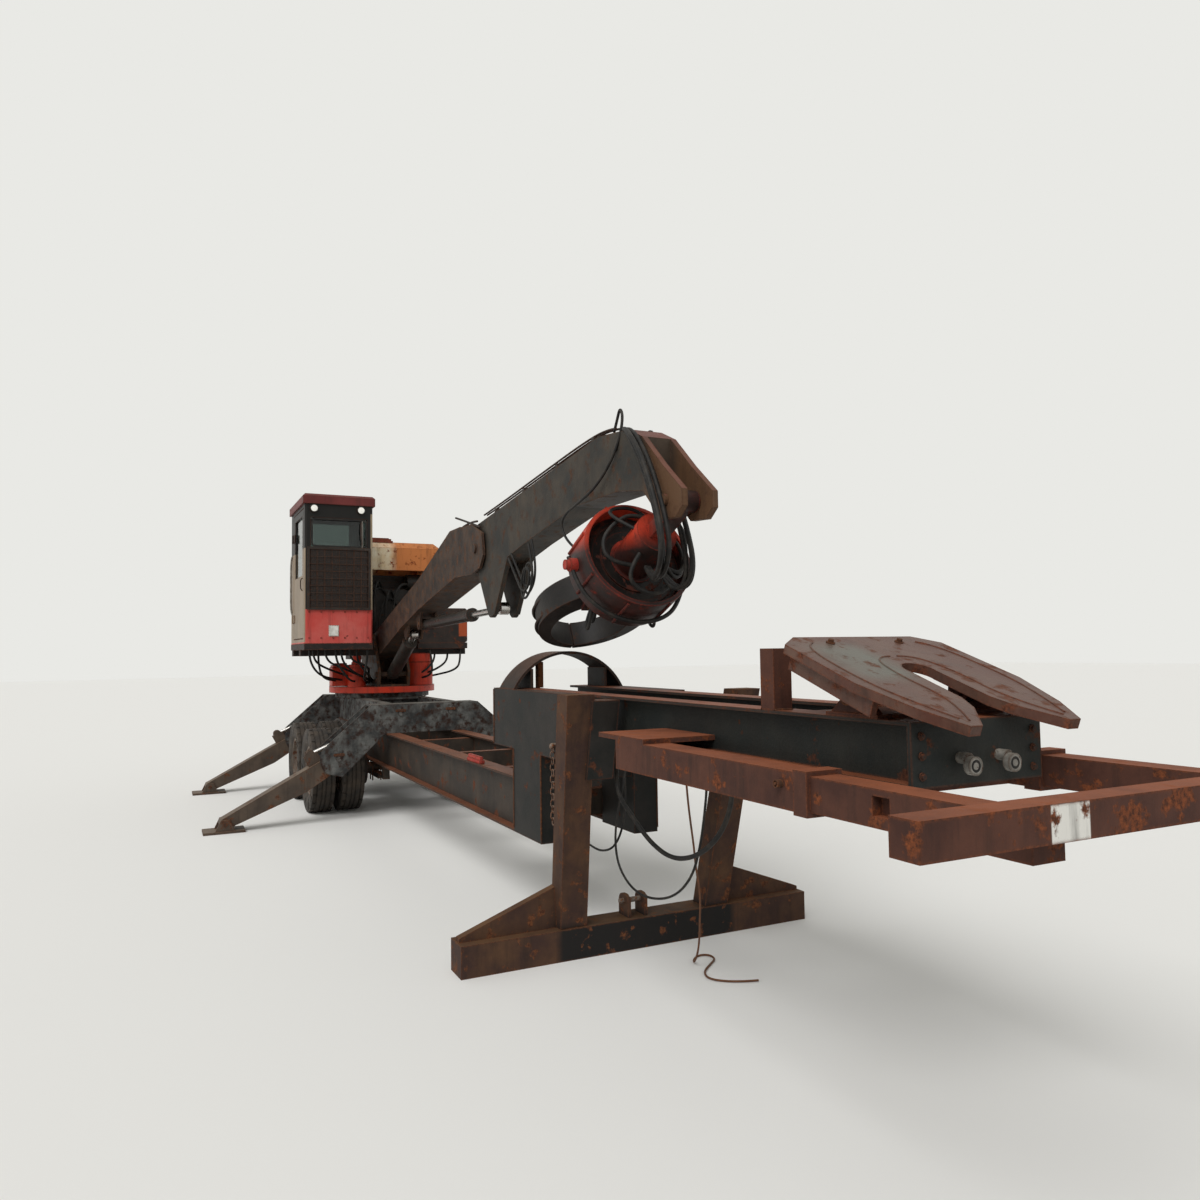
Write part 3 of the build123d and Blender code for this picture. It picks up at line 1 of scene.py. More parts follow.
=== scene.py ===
import bmesh
import bpy
import math
from mathutils import Matrix, Vector


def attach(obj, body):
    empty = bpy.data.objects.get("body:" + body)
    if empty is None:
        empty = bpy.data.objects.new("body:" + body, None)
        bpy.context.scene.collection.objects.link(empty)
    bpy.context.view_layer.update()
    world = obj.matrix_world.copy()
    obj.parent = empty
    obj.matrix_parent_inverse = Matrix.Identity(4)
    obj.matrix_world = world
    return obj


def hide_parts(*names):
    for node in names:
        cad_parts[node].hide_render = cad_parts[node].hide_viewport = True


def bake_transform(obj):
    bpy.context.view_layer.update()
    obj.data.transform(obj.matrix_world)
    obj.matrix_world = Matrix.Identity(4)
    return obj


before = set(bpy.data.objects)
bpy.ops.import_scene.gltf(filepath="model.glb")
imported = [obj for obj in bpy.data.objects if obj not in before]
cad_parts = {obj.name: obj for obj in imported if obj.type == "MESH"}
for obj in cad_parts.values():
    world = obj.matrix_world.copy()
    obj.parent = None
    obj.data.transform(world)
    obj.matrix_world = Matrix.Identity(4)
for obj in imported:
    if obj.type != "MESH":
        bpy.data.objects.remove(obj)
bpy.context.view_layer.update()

# Ground, light and camera
#
# A pale matt floor, one broad soft lamp from high on the right front and an even pale
# surrounding, with the camera low in front of the right corner of the bumper.


def linear(code):
    """A colour's sRGB hex value as Blender's linear colour."""
    shares = [int(code[i : i + 2], 16) / 255 for i in (0, 2, 4)]
    return tuple(c / 12.92 if c <= 0.04045 else ((c + 0.055) / 1.055) ** 2.4 for c in shares) + (1.0,)


def connect(owner, node, sockets):
    """Gives a node's sockets their values, or links other nodes' outputs to them."""
    for socket, value in sockets.items():
        if isinstance(value, bpy.types.NodeSocket):
            owner.node_tree.links.new(value, node.inputs[socket])
        else:
            node.inputs[socket].default_value = value


def add(owner, kind, sockets, **settings):
    """Adds a shader node with its settings to a material or the world, and connects it."""
    node = owner.node_tree.nodes.new("ShaderNode" + kind)
    for setting, value in settings.items():
        setattr(node, setting, value)
    connect(owner, node, sockets)
    return node


def new_material(name):
    """A material with nothing but its Principled surface, which is given back with it."""
    material = bpy.data.materials.new(name)
    material.use_nodes = True
    return material, material.node_tree.nodes["Principled BSDF"]


# Sealed matt floor: even and pale, so that only the machine's shadow shows on it
floor_paint, surface = new_material("matt_floor_paint")
connect(floor_paint, surface, {"Base Color": linear("E9E8E5"), "Roughness": 0.85})

bpy.ops.object.select_all(action="DESELECT")
bpy.ops.mesh.primitive_plane_add(size=160, location=(0, 0, 0))
floor = bpy.context.object
floor.name = "studio_floor"
floor.data.materials.append(floor_paint)

world = bpy.data.worlds.new("studio_surround")
world.use_nodes = True
bpy.context.scene.world = world
surround = world.node_tree.nodes["Background"]
paths = add(world, "LightPath", {})
seen = add(
    world,
    "Math",
    {0: paths.outputs["Is Camera Ray"], 1: paths.outputs["Is Glossy Ray"]},
    operation="ADD",
)
level = add(world, "MapRange", {"Value": seen.outputs[0], "To Min": 0.62, "To Max": 1.0})
connect(world, surround, {"Color": linear("E9E9E5"), "Strength": level.outputs[0]})

lamp_place = (8, -10, 14)
bpy.ops.object.select_all(action="DESELECT")
bpy.ops.object.light_add(type="SUN", location=lamp_place)
lamp = bpy.context.object
lamp.name = "broad_lamp"
lamp.data.energy = 1.9
lamp.data.angle = math.radians(38)
lamp.rotation_euler = Vector(lamp_place).to_track_quat("Z", "Y").to_euler()

yaw, pitch, roll = math.radians(153.8769), math.radians(3.2036), math.radians(-0.8004)
ahead = Vector((math.cos(yaw) * math.cos(pitch), math.sin(yaw) * math.cos(pitch), math.sin(pitch)))
level_right = Vector((math.sin(yaw), -math.cos(yaw), 0))
level_up = level_right.cross(ahead)
right = math.cos(roll) * level_right + math.sin(roll) * level_up
up = math.cos(roll) * level_up - math.sin(roll) * level_right
camera_data = bpy.data.cameras.new("photograph_view")
camera_data.sensor_width = 36
camera_data.lens = 27.087
camera = bpy.data.objects.new("photograph_view", camera_data)
bpy.context.collection.objects.link(camera)
aimed = Matrix((right, up, -ahead)).transposed().to_4x4()
aimed.translation = (8.188, -2.857, 1.901)
camera.matrix_world = aimed
bpy.context.scene.camera = camera
bpy.context.scene.view_settings.view_transform = "Standard"

# Hoses and wire that hang below the gooseneck
#
# Three hydraulic and air hoses hang in loops from clips under the gooseneck, and one thin
# wire hangs down beside them and lies in a loose curl on the ground with its bare end.

# Nitrile hose cover, extruded smooth: dull black, greyed by dust in patches
hose_rubber, surface = new_material("nitrile_hose_cover")
where = add(hose_rubber, "TexCoord", {}).outputs["Object"]
film = add(hose_rubber, "TexNoise", {"Vector": where, "Scale": 14.0, "Detail": 5.0, "Roughness": 0.65})
dusty = add(hose_rubber, "MapRange", {"Value": film.outputs["Fac"], "From Min": 0.45, "From Max": 0.75})
tone = add(
    hose_rubber,
    "Mix",
    {0: dusty.outputs[0], 6: linear("151413"), 7: linear("363029")},
    data_type="RGBA",
)
fine = add(hose_rubber, "TexNoise", {"Vector": where, "Scale": 260.0, "Detail": 2.0})
grain = add(hose_rubber, "Bump", {"Height": fine.outputs["Fac"], "Strength": 0.25, "Distance": 0.001})
connect(
    hose_rubber,
    surface,
    {
        "Base Color": tone.outputs[2],
        "Roughness": 0.62,
        "Specular IOR Level": 0.3,
        "Normal": grain.outputs[0],
    },
)

# Drawn steel wire rusted through its zinc: dull brown with orange spots
rusted_wire, surface = new_material("rusted_steel_wire")
where = add(rusted_wire, "TexCoord", {}).outputs["Object"]
spots = add(rusted_wire, "TexNoise", {"Vector": where, "Scale": 45.0, "Detail": 4.0})
tone = add(
    rusted_wire,
    "Mix",
    {0: spots.outputs["Fac"], 6: linear("3A2A20"), 7: linear("7A4B2C")},
    data_type="RGBA",
)
grain = add(rusted_wire, "Bump", {"Height": spots.outputs["Fac"], "Strength": 0.3, "Distance": 0.002})
connect(
    rusted_wire,
    surface,
    {"Base Color": tone.outputs[2], "Roughness": 0.8, "Normal": grain.outputs[0]},
)


def flexible_line(name, points, diameter, material, body=None):
    """A hose, pipe or wire as one smooth curve with these control points, and its body."""
    curve = bpy.data.curves.new(name, "CURVE")
    curve.dimensions = "3D"
    spline = curve.splines.new("NURBS")
    spline.points.add(len(points) - 1)
    for control, place in zip(spline.points, points):
        control.co = (*place, 1.0)
    spline.order_u = 3
    spline.use_endpoint_u = True
    spline.resolution_u = 8
    curve.bevel_depth = diameter / 2
    curve.bevel_resolution = 3
    curve.use_fill_caps = True
    piece = bpy.data.objects.new(name, curve)
    bpy.context.collection.objects.link(piece)
    piece.data.materials.append(material)
    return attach(piece, body) if body else piece


slew_x = -4.65
hanging = {
    "hose_a": (
        0.026,
        2.00,
        hose_rubber,
        [
            (7.770, -0.275, 1.370), (7.770, -0.275, 1.190), (7.865, -0.318, 1.020),
            (8.096, -0.330, 0.912), (8.279, -0.330, 0.813), (8.511, -0.330, 0.763),
            (8.739, -0.330, 0.808), (8.936, -0.325, 0.917), (9.035, -0.300, 1.055),
            (9.050, -0.275, 1.210), (9.050, -0.275, 1.370),
        ],
    ),
    "hose_b": (
        0.014,
        2.47,
        hose_rubber,
        [
            (7.905, -0.275, 1.370), (7.905, -0.275, 1.225), (7.880, -0.285, 1.070),
            (7.825, -0.300, 0.900), (7.785, -0.300, 0.735), (7.820, -0.300, 0.590),
            (7.950, -0.300, 0.500), (8.110, -0.300, 0.470), (8.275, -0.300, 0.485),
            (8.440, -0.300, 0.530), (8.580, -0.300, 0.605), (8.700, -0.300, 0.720),
            (8.770, -0.300, 0.870), (8.805, -0.292, 1.035), (8.812, -0.275, 1.205),
            (8.812, -0.275, 1.370),
        ],
    ),
    "hose_d": (
        0.014,
        2.02,
        hose_rubber,
        [
            (6.435, -0.115, 0.735), (6.570, -0.115, 0.735), (6.730, -0.140, 0.685),
            (6.890, -0.165, 0.640), (7.060, -0.195, 0.610), (7.220, -0.225, 0.603),
            (7.390, -0.260, 0.607), (7.545, -0.275, 0.612), (7.690, -0.265, 0.655),
            (7.790, -0.255, 0.770), (7.835, -0.250, 0.920), (7.850, -0.255, 1.070),
            (7.850, -0.265, 1.225), (7.850, -0.265, 1.370),
        ],
    ),
    "wire_c": (
        0.012,
        2.45,
        rusted_wire,
        [
            (8.540, -0.240, 1.370), (8.540, -0.240, 1.250), (8.475, -0.195, 1.130),
            (8.435, -0.160, 1.010), (8.410, -0.130, 0.890), (8.385, -0.100, 0.780),
            (8.360, -0.075, 0.660), (8.345, -0.045, 0.540), (8.315, -0.020, 0.430),
            (8.265, 0.005, 0.320), (8.210, 0.035, 0.200), (8.155, 0.055, 0.090),
            (8.085, 0.070, 0.012), (8.010, 0.115, 0.008), (7.965, 0.180, 0.008),
            (7.990, 0.240, 0.008), (8.070, 0.235, 0.008), (8.140, 0.150, 0.008),
            (8.225, 0.050, 0.008), (8.330, 0.010, 0.008), (8.415, 0.075, 0.008),
            (8.470, 0.180, 0.008), (8.490, 0.250, 0.008),
        ],
    ),
}
for name, (diameter, length, material, route) in hanging.items():
    route = [(slew_x + x, y, z) for x, y, z in route]
    line = flexible_line(name + "_line", route, diameter, material, "chassis")
    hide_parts(name)

# Lower rails and neck
#
# Two heavy rolled I-beams run below the loader, and at their front end a welded column and
# a deep side box lift the frame to the gooseneck. Hot-rolled steel, welded and painted dark
# once; the paint has gone dull and brown, and rust has come through at every edge.


def weathered_steel(
    name, paint, faded, rust, rust_from, patch, top, top_share, sheen=0.6, regions=(), feather=0.05
):
    """Painted plate after years outdoors: the paint, faded in broad patches; rust where the
    paint has come off and along the edges; dark runs below; and what lies on upper faces.

    Patches are about patch metres wide. Rust shows where its noise is over rust_from, and
    comes in softly over feather. The top colour covers about top_share of the faces that look
    up, and sheen is the paint's roughness. A region is a box, its colour and how far it fades.
    """
    material, surface = new_material(name)
    where = add(material, "TexCoord", {}).outputs["Object"]
    parts = add(material, "SeparateXYZ", {0: where})
    # Paint, faded in patches
    broad = add(
        material,
        "TexNoise",
        {"Vector": where, "Scale": 1 / patch, "Detail": 7.0, "Roughness": 0.62},
    )
    fading = add(
        material, "MapRange", {"Value": broad.outputs["Fac"], "From Min": 0.38, "From Max": 0.66}
    )
    tone = add(
        material,
        "Mix",
        {0: fading.outputs[0], 6: linear(paint), 7: linear(faded)},
        data_type="RGBA",
    )
    # Regions in another colour: the nearness along each axis, multiplied
    for bounds, colour, fade in regions:
        inside = None
        for axis, low, high in bounds:
            middle, reach = (low + high) / 2, (high - low) / 2
            offset = add(material, "Math", {0: parts.outputs[axis], 1: middle}, operation="SUBTRACT")
            away = add(material, "Math", {0: offset.outputs[0]}, operation="ABSOLUTE")
            within = add(
                material,
                "MapRange",
                {
                    "Value": away.outputs[0],
                    "From Min": reach,
                    "From Max": reach + fade,
                    "To Min": 1.0,
                    "To Max": 0.0,
                },
            )
            if inside is None:
                inside = within
            else:
                inside = add(
                    material,
                    "Math",
                    {0: inside.outputs[0], 1: within.outputs[0]},
                    operation="MULTIPLY",
                )
        tone = add(
            material,
            "Mix",
            {0: inside.outputs[0], 6: tone.outputs[2], 7: linear(colour)},
            data_type="RGBA",
        )
    # Dark runs, ten times as long as they are wide
    drawn_out = add(material, "Mapping", {"Vector": where, "Scale": (8.0, 8.0, 0.8)})
    runs = add(
        material,
        "TexNoise",
        {"Vector": drawn_out.outputs[0], "Scale": 1.3, "Detail": 6.0, "Roughness": 0.7},
    )
    run_down = add(
        material,
        "MapRange",
        {"Value": runs.outputs["Fac"], "From Min": 0.5, "From Max": 0.74, "To Max": 0.6},
    )
    stained = add(
        material,
        "Mix",
        {0: run_down.outputs[0], 6: tone.outputs[2], 7: linear("211C19")},
        data_type="RGBA",
    )
    # Flaked places, less than half a patch wide, and edges that have worn bare
    flakes = add(
        material,
        "TexNoise",
        {"Vector": where, "Scale": 2.2 / patch, "Detail": 9.0, "Roughness": 0.62},
    )
    bare = add(
        material,
        "MapRange",
        {"Value": flakes.outputs["Fac"], "From Min": rust_from, "From Max": rust_from + feather},
    )
    rounded = add(material, "Bevel", {"Radius": 0.014}, samples=4)
    geometry = add(material, "NewGeometry", {})
    turned = add(
        material,
        "VectorMath",
        {0: rounded.outputs[0], 1: geometry.outputs["Normal"]},
        operation="DOT_PRODUCT",
    )
    edge = add(
        material,
        "MapRange",
        {
            "Value": turned.outputs["Value"],
            "From Min": 0.995,
            "From Max": 0.93,
            "To Min": 0.0,
            "To Max": 1.6,
        },
    )
    worn = add(material, "Math", {0: edge.outputs[0], 1: flakes.outputs["Fac"]}, operation="MULTIPLY")
    rusted = add(material, "Math", {0: bare.outputs[0], 1: worn.outputs[0]}, operation="MAXIMUM")
    rusted.use_clamp = True
    # Rust scale in two tones, mottled about every 15 mm
    speckle = add(
        material, "TexNoise", {"Vector": where, "Scale": 60.0, "Detail": 4.0, "Roughness": 0.7}
    )
    depth = add(
        material, "MapRange", {"Value": speckle.outputs["Fac"], "From Min": 0.35, "From Max": 0.65}
    )
    scale_tone = add(
        material, "Mix", {0: depth.outputs[0], 6: linear("3B241B"), 7: linear(rust)}, data_type="RGBA"
    )
    coat = add(
        material,
        "Mix",
        {0: rusted.outputs[0], 6: stained.outputs[2], 7: scale_tone.outputs[2]},
        data_type="RGBA",
    )
    # What lies on faces that look up
    facing = add(material, "SeparateXYZ", {0: geometry.outputs["Normal"]})
    upward = add(
        material,
        "MapRange",
        {"Value": facing.outputs["Z"], "From Min": 0.45, "From Max": 0.95, "To Max": 2 * top_share},
    )
    settled = add(
        material, "Math", {0: upward.outputs[0], 1: broad.outputs["Fac"]}, operation="MULTIPLY"
    )
    settled.use_clamp = True
    covered = add(
        material, "Mix", {0: settled.outputs[0], 6: coat.outputs[2], 7: linear(top)}, data_type="RGBA"
    )
    # Rust is duller than paint, and both are pitted
    dull = add(material, "MapRange", {"Value": rusted.outputs[0], "To Min": sheen, "To Max": 0.93})
    pitted = add(
        material, "Math", {0: flakes.outputs["Fac"], 1: speckle.outputs["Fac"]}, operation="ADD"
    )
    relief = add(material, "Bump", {"Height": pitted.outputs[0], "Strength": 0.35, "Distance": 0.004})
    connect(
        material,
        surface,
        {
            "Base Color": covered.outputs[2],
            "Roughness": dull.outputs[0],
            "Specular IOR Level": 0.22,
            "Normal": relief.outputs[0],
        },
    )
    return material


def dress(material, *names):
    """Gives CAD nodes their material, on their own objects' slots."""
    for name in names:
        for material_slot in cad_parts[name].material_slots:
            material_slot.material = material


def begin(name, shape, sized=(1, 1, 1), **values):
    """A piece begun from one primitive, alone selected and open for editing."""
    bpy.ops.object.select_all(action="DESELECT")
    getattr(bpy.ops.mesh, f"primitive_{shape}_add")(**values)
    piece = bpy.context.object
    piece.name = name
    piece.scale = sized
    bpy.ops.object.transform_apply(location=True, rotation=True, scale=True)
    bpy.ops.object.mode_set(mode="EDIT")
    return piece


def choose(piece, kind, rule):
    """Selects the vertices, edges or faces of the open piece whose middle meets the rule."""
    bpy.ops.mesh.select_mode(type=kind)
    bpy.ops.mesh.select_all(action="DESELECT")
    mesh = bmesh.from_edit_mesh(piece.data)
    for part in {"VERT": mesh.verts, "EDGE": mesh.edges, "FACE": mesh.faces}[kind]:
        corners = [part.co] if kind == "VERT" else [corner.co for corner in part.verts]
        part.select_set(bool(rule(sum(corners, Vector()) / len(corners))))
    mesh.select_flush_mode()
    bmesh.update_edit_mesh(piece.data)


def move(*offset):
    """Shifts what is selected in the open piece."""
    bpy.ops.transform.translate(value=offset)


def pull(*offset):
    """Extrudes what is selected in the open piece."""
    bpy.ops.mesh.extrude_region_move(TRANSFORM_OT_translate={"value": offset})


def inset_pull(width, *offset):
    """Insets the selected faces of the open piece by the width, then extrudes them."""
    bpy.ops.mesh.inset(thickness=width)
    pull(*offset)


def close(piece, material, body, smooth=35):
    """Ends the editing: edges sharper than the angle stay sharp; then material and body."""
    bpy.ops.mesh.select_all(action="SELECT")
    bpy.ops.mesh.normals_make_consistent(inside=False)
    bpy.ops.object.mode_set(mode="OBJECT")
    bpy.ops.object.shade_smooth_by_angle(angle=math.radians(smooth))
    piece.data.materials.append(material)
    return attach(piece, body)


def again(piece, name, matrix, body):
    """The same piece once more in another place, with its own mesh."""
    twin = piece.copy()
    twin.data = piece.data.copy()
    twin.name = name
    bpy.context.collection.objects.link(twin)
    twin.data.transform(matrix)
    if matrix.determinant() < 0:
        twin.data.flip_normals()
    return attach(twin, body)


# Turns that lay a cylinder's axis along the machine or across it
lengthwise = (0, math.pi / 2, 0)
crosswise = (math.pi / 2, 0, 0)


def bolts(name, place, radius, axis, count, material, body, step=(0, 0, 0), ring=None):
    """Hexagon heads on washers, made once and repeated along a row or round a ring's centre."""
    turn = {"X": lengthwise, "Y": crosswise, "Z": (0, 0, 0)}[axis]
    out = Vector([float(axis == letter) for letter in "XYZ"])
    piece = begin(
        name,
        "cylinder",
        vertices=12,
        radius=radius * 1.5,
        depth=radius * 0.5,
        location=place,
        rotation=turn,
    )
    for end in (1, -1):
        choose(piece, "FACE", lambda middle: (middle - Vector(place)).dot(out) * end > radius * 0.2)
        inset_pull(radius * 0.55, *(out * end * radius * 0.9))
    bpy.ops.mesh.select_all(action="SELECT")
    if ring is None:
        for _ in range(count - 1):
            bpy.ops.mesh.duplicate_move(TRANSFORM_OT_translate={"value": step})
    else:
        bpy.ops.mesh.spin(
            steps=count - 1, dupli=True, angle=2 * math.pi * (count - 1) / count, center=ring, axis=out
        )
    return close(piece, material, body)


# Chassis paint over hot-rolled beams: dull dark grey-brown, with red-brown flange edges
rail_paint = weathered_steel(
    "rail_chassis_paint", paint="2C2723", faded="43382F", rust="6E4029", rust_from=0.58, patch=0.40,
    top="74462F", top_share=0.75,
)
dress(rail_paint, "lower_rails", "axles")

# The same paint on the neck has stayed nearly black, because oil has run over it
neck_paint = weathered_steel(
    "neck_chassis_paint", paint="1A1B19", faded="2C2825", rust="5F3A28", rust_from=0.60, patch=0.30,
    top="5A3A28", top_share=0.6,
)
dress(neck_paint, "neck", "stand_brackets", "grapple_saddle")

# Arc weld in low-carbon wire: a rounded bead, rusted darker than the plate beside it
bead_rust = weathered_steel(
    "rusted_weld_bead", paint="3A2A22", faded="4A3428", rust="7A4A2C", rust_from=0.55, patch=0.05,
    top="6A4630", top_share=0.2, sheen=0.8,
)
sides = (("right", -1), ("left", 1))
for hand, side in sides:
    for end, x in (("rear", 6.02), ("front", 7.40)):
        seam = [(slew_x + x, side * 0.461, z) for z in (1.19, 1.40, 1.61)]
        flexible_line(f"neck_seam_{end}_{hand}", seam, 0.012, bead_rust, "chassis")
    for end, x in (("rear", 6.45), ("front", 6.98)):
        seam = [(slew_x + x, side * 0.461, z) for z in (0.60, 0.90, 1.18)]
        flexible_line(f"column_seam_{end}_{hand}", seam, 0.012, bead_rust, "chassis")

# Galvanised chain gone brown: it hangs from a bolted ear on the right side of the neck
chain_steel = weathered_steel(
    "brown_zinc_chain", paint="6A6058", faded="857B70", rust="7A4B2D", rust_from=0.52, patch=0.04,
    top="8A7A68", top_share=0.3, sheen=0.5,
)
chain_x, chain_y, chain_z = slew_x + 7.27, -0.493, 1.245
chain = begin(
    "neck_chain",
    "torus",
    major_radius=0.017,
    minor_radius=0.0042,
    major_segments=14,
    minor_segments=8,
    location=(chain_x, chain_y, chain_z),
    rotation=crosswise,
)
choose(chain, "VERT", lambda middle: middle.z > chain_z + 0.001)
move(0, 0, 0.014)
bpy.ops.mesh.select_all(action="SELECT")
for index in range(1, 13):
    bpy.ops.mesh.duplicate_move(TRANSFORM_OT_translate={"value": (0, 0, -0.0395)})
    bpy.ops.transform.rotate(
        value=math.pi / 2, orient_axis="Z", center_override=(chain_x, chain_y, chain_z - 0.0395 * index)
    )
close(chain, chain_steel, "chassis", 60)
bolts(
    "chain_bolts",
    (slew_x + 7.209, -0.466, 1.262),
    0.016,
    "Y",
    2,
    chain_steel,
    "chassis",
    step=(0.135, 0, 0),
)
ear = begin(
    "chain_ear",
    "cube",
    size=1,
    location=(slew_x + 7.272, -0.478, 1.282),
    sized=(0.05, 0.036, 0.016),
)
choose(ear, "FACE", lambda middle: middle.y < -0.49)
pull(0, -0.012, -0.012)
bpy.ops.mesh.select_all(action="SELECT")
bpy.ops.mesh.bevel(offset=0.003, segments=2)
close(ear, chain_steel, "chassis")

# Red cleat of folded sheet on the right rail, where a light's lead was clipped down
cleat_paint = weathered_steel(
    "chipped_red_cleat", paint="9A2F26", faded="A8453A", rust="5A3024", rust_from=0.60, patch=0.10,
    top="8A4A3A", top_share=0.3,
)
cleat = begin(
    "rail_cleat", "cube", size=1, location=(slew_x + 5.46, -0.43, 0.991), sized=(0.34, 0.045, 0.03)
)
choose(cleat, "FACE", lambda middle: middle.z > 1.0)
inset_pull(0.009, 0, 0, 0.028)
bpy.ops.mesh.select_all(action="SELECT")
bpy.ops.mesh.bevel(offset=0.003, segments=2)
close(cleat, cleat_paint, "chassis")

# Rusted angle that stands on the neck inside the saddle
post_rust = weathered_steel(
    "orange_rusted_angle", paint="7A4A2C", faded="8A5A38", rust="5A3424", rust_from=0.55,
    patch=0.10, top="8A5A38", top_share=0.3, sheen=0.8,
)
post = begin(
    "saddle_post", "cube", size=1, location=(slew_x + 6.33, -0.21, 1.72), sized=(0.05, 0.012, 0.20)
)
choose(post, "FACE", lambda middle: middle.x < slew_x + 6.31)
pull(-0.010, 0, 0)
choose(post, "FACE", lambda middle: middle.y > -0.205 and middle.x < slew_x + 6.305)
pull(0, 0.05, 0)
choose(post, "EDGE", lambda middle: middle.z > 1.81)
bpy.ops.mesh.bevel(offset=0.004, segments=2)
close(post, post_rust, "chassis")

# Gooseneck with its front plate
#
# Two welded I-beams side by side, closed by a plate in front with the two air couplings.
# Rolled steel plate in nearly black paint; the top flange has rusted bright.
goose_paint = weathered_steel(
    "gooseneck_chassis_paint", paint="1B1F1E", faded="2B2B27", rust="5F3A28", rust_from=0.60,
    patch=0.32, top="7A452C", top_share=0.95,
)
dress(goose_paint, "gooseneck")

# Zinc alloy die casting, chalky grey
cast_coupling = weathered_steel(
    "zinc_cast_coupling", paint="6F6C66", faded="A09C94", rust="5A4C40", rust_from=0.58, patch=0.05,
    top="8A8072", top_share=0.3, sheen=0.3,
)
dress(cast_coupling, "gladhands")

# Moulded rubber face seal of each air coupling
seal = begin(
    "gladhand_seal_right",
    "torus",
    major_radius=0.019,
    minor_radius=0.005,
    major_segments=24,
    minor_segments=8,
    location=(slew_x + 10.398, -0.105, 1.450),
    rotation=lengthwise,
)
choose(seal, "VERT", lambda middle: middle.x > slew_x + 10.4)
move(-0.002, 0, 0)
close(seal, hose_rubber, "chassis", 60)
again(seal, "gladhand_seal_left", Matrix.Translation((0, 0.21, 0)), "chassis")
mirrored = Matrix.Scale(-1, 4, (0, 1, 0))
bolts(
    "front_plate_bolts_right",
    (slew_x + 10.322, -0.30, 1.415),
    0.011,
    "X",
    3,
    goose_paint,
    "chassis",
    step=(0, 0, 0.075),
)
bolts(
    "front_plate_bolts_left",
    (slew_x + 10.322, 0.30, 1.415),
    0.011,
    "X",
    3,
    goose_paint,
    "chassis",
    step=(0, 0, 0.075),
)

# Side tubes and bumper
#
# Square tube on each side of the gooseneck, in which the arms of the bumper slide. Bare
# steel long since rusted to an even maroon, brighter orange where water stands on top.
tube_rust = weathered_steel(
    "rusted_square_tube", paint="402720", faded="57362A", rust="7E4528", rust_from=0.57, patch=0.26,
    top="8A4F33", top_share=0.75, sheen=0.75,
)
dress(tube_rust, "side_tubes", "portal", "coupling_bracket")

# The bumper's tube is the same, with a blank white plate riveted on the right of its face
tag_white = (("X", slew_x + 11.198, slew_x + 11.3), ("Y", -0.740, -0.590), ("Z", 1.378, 1.476))
bumper_rust = weathered_steel(
    "rusted_bumper_tube", paint="402720", faded="57362A", rust="7E4528", rust_from=0.57, patch=0.26,
    top="8A4F33", top_share=0.75, sheen=0.75, regions=((tag_white, "DAD8D2", 0.004),),
)
dress(bumper_rust, "bumper")
for hand, side in sides:
    seam = [(slew_x + 11.097, side * y, 1.372) for y in (0.56, 0.625, 0.69)]
    flexible_line(f"bumper_seam_{hand}", seam, 0.010, bead_rust, "bumper")
    for corner, x in (("rear", 9.40), ("front", 9.50)):
        seam = [(slew_x + x, side * y, 1.622) for y in (0.25, 0.30, 0.35)]
        flexible_line(f"portal_seam_{corner}_{hand}", seam, 0.010, bead_rust, "chassis")

# Turned steel pins that lock the arms in the tubes, their heads hollowed by a drill
lock_pin = begin(
    "arm_pin_right",
    "cylinder",
    vertices=24,
    radius=0.016,
    depth=0.03,
    location=(slew_x + 9.996, -0.713, 1.383),
    rotation=crosswise,
)
choose(lock_pin, "FACE", lambda middle: middle.y < -0.726)
inset_pull(0.004, 0, 0.005, 0)
inset_pull(0.006, 0, -0.008, 0)
close(lock_pin, bead_rust, "chassis")
again(lock_pin, "arm_pin_left", mirrored, "chassis")

# Front stand
#
# Two slanted box legs welded to a long foot beam, which lies on the ground and is braced
# outside each leg by a gusset. Plain rusted plate; a pair of drilled lugs stands on the beam.
foot_beam = (("X", slew_x + 7.4, slew_x + 7.8), ("Y", -0.60, 0.62), ("Z", 0.0, 0.185))
stand_rust = weathered_steel(
    "rusted_stand_plate", paint="3C2A24", faded="553C2A", rust="74482D", rust_from=0.56, patch=0.24,
    top="66492F", top_share=0.5, sheen=0.78, regions=((foot_beam, "1C1A19", 0.05),),
)
dress(stand_rust, "stand")
lug_x = slew_x + 7.56
lug = begin(
    "stand_lug_right", "cube", size=1, location=(lug_x, -0.12, 0.255), sized=(0.13, 0.022, 0.15)
)
choose(lug, "EDGE", lambda middle: middle.z > 0.32 and abs(middle.x - lug_x) > 0.06)
bpy.ops.mesh.bevel(offset=0.05, segments=6)
close(lug, stand_rust, "chassis")
again(lug, "stand_lug_left", Matrix.Translation((0, 0.12, 0)), "chassis")
lug_pin = begin(
    "stand_lug_pin",
    "cylinder",
    vertices=20,
    radius=0.017,
    depth=0.20,
    location=(lug_x, -0.06, 0.285),
    rotation=crosswise,
)
choose(lug_pin, "FACE", lambda middle: abs(middle.y + 0.06) > 0.09)
bpy.ops.mesh.inset(thickness=0.004)
close(lug_pin, chain_steel, "chassis")

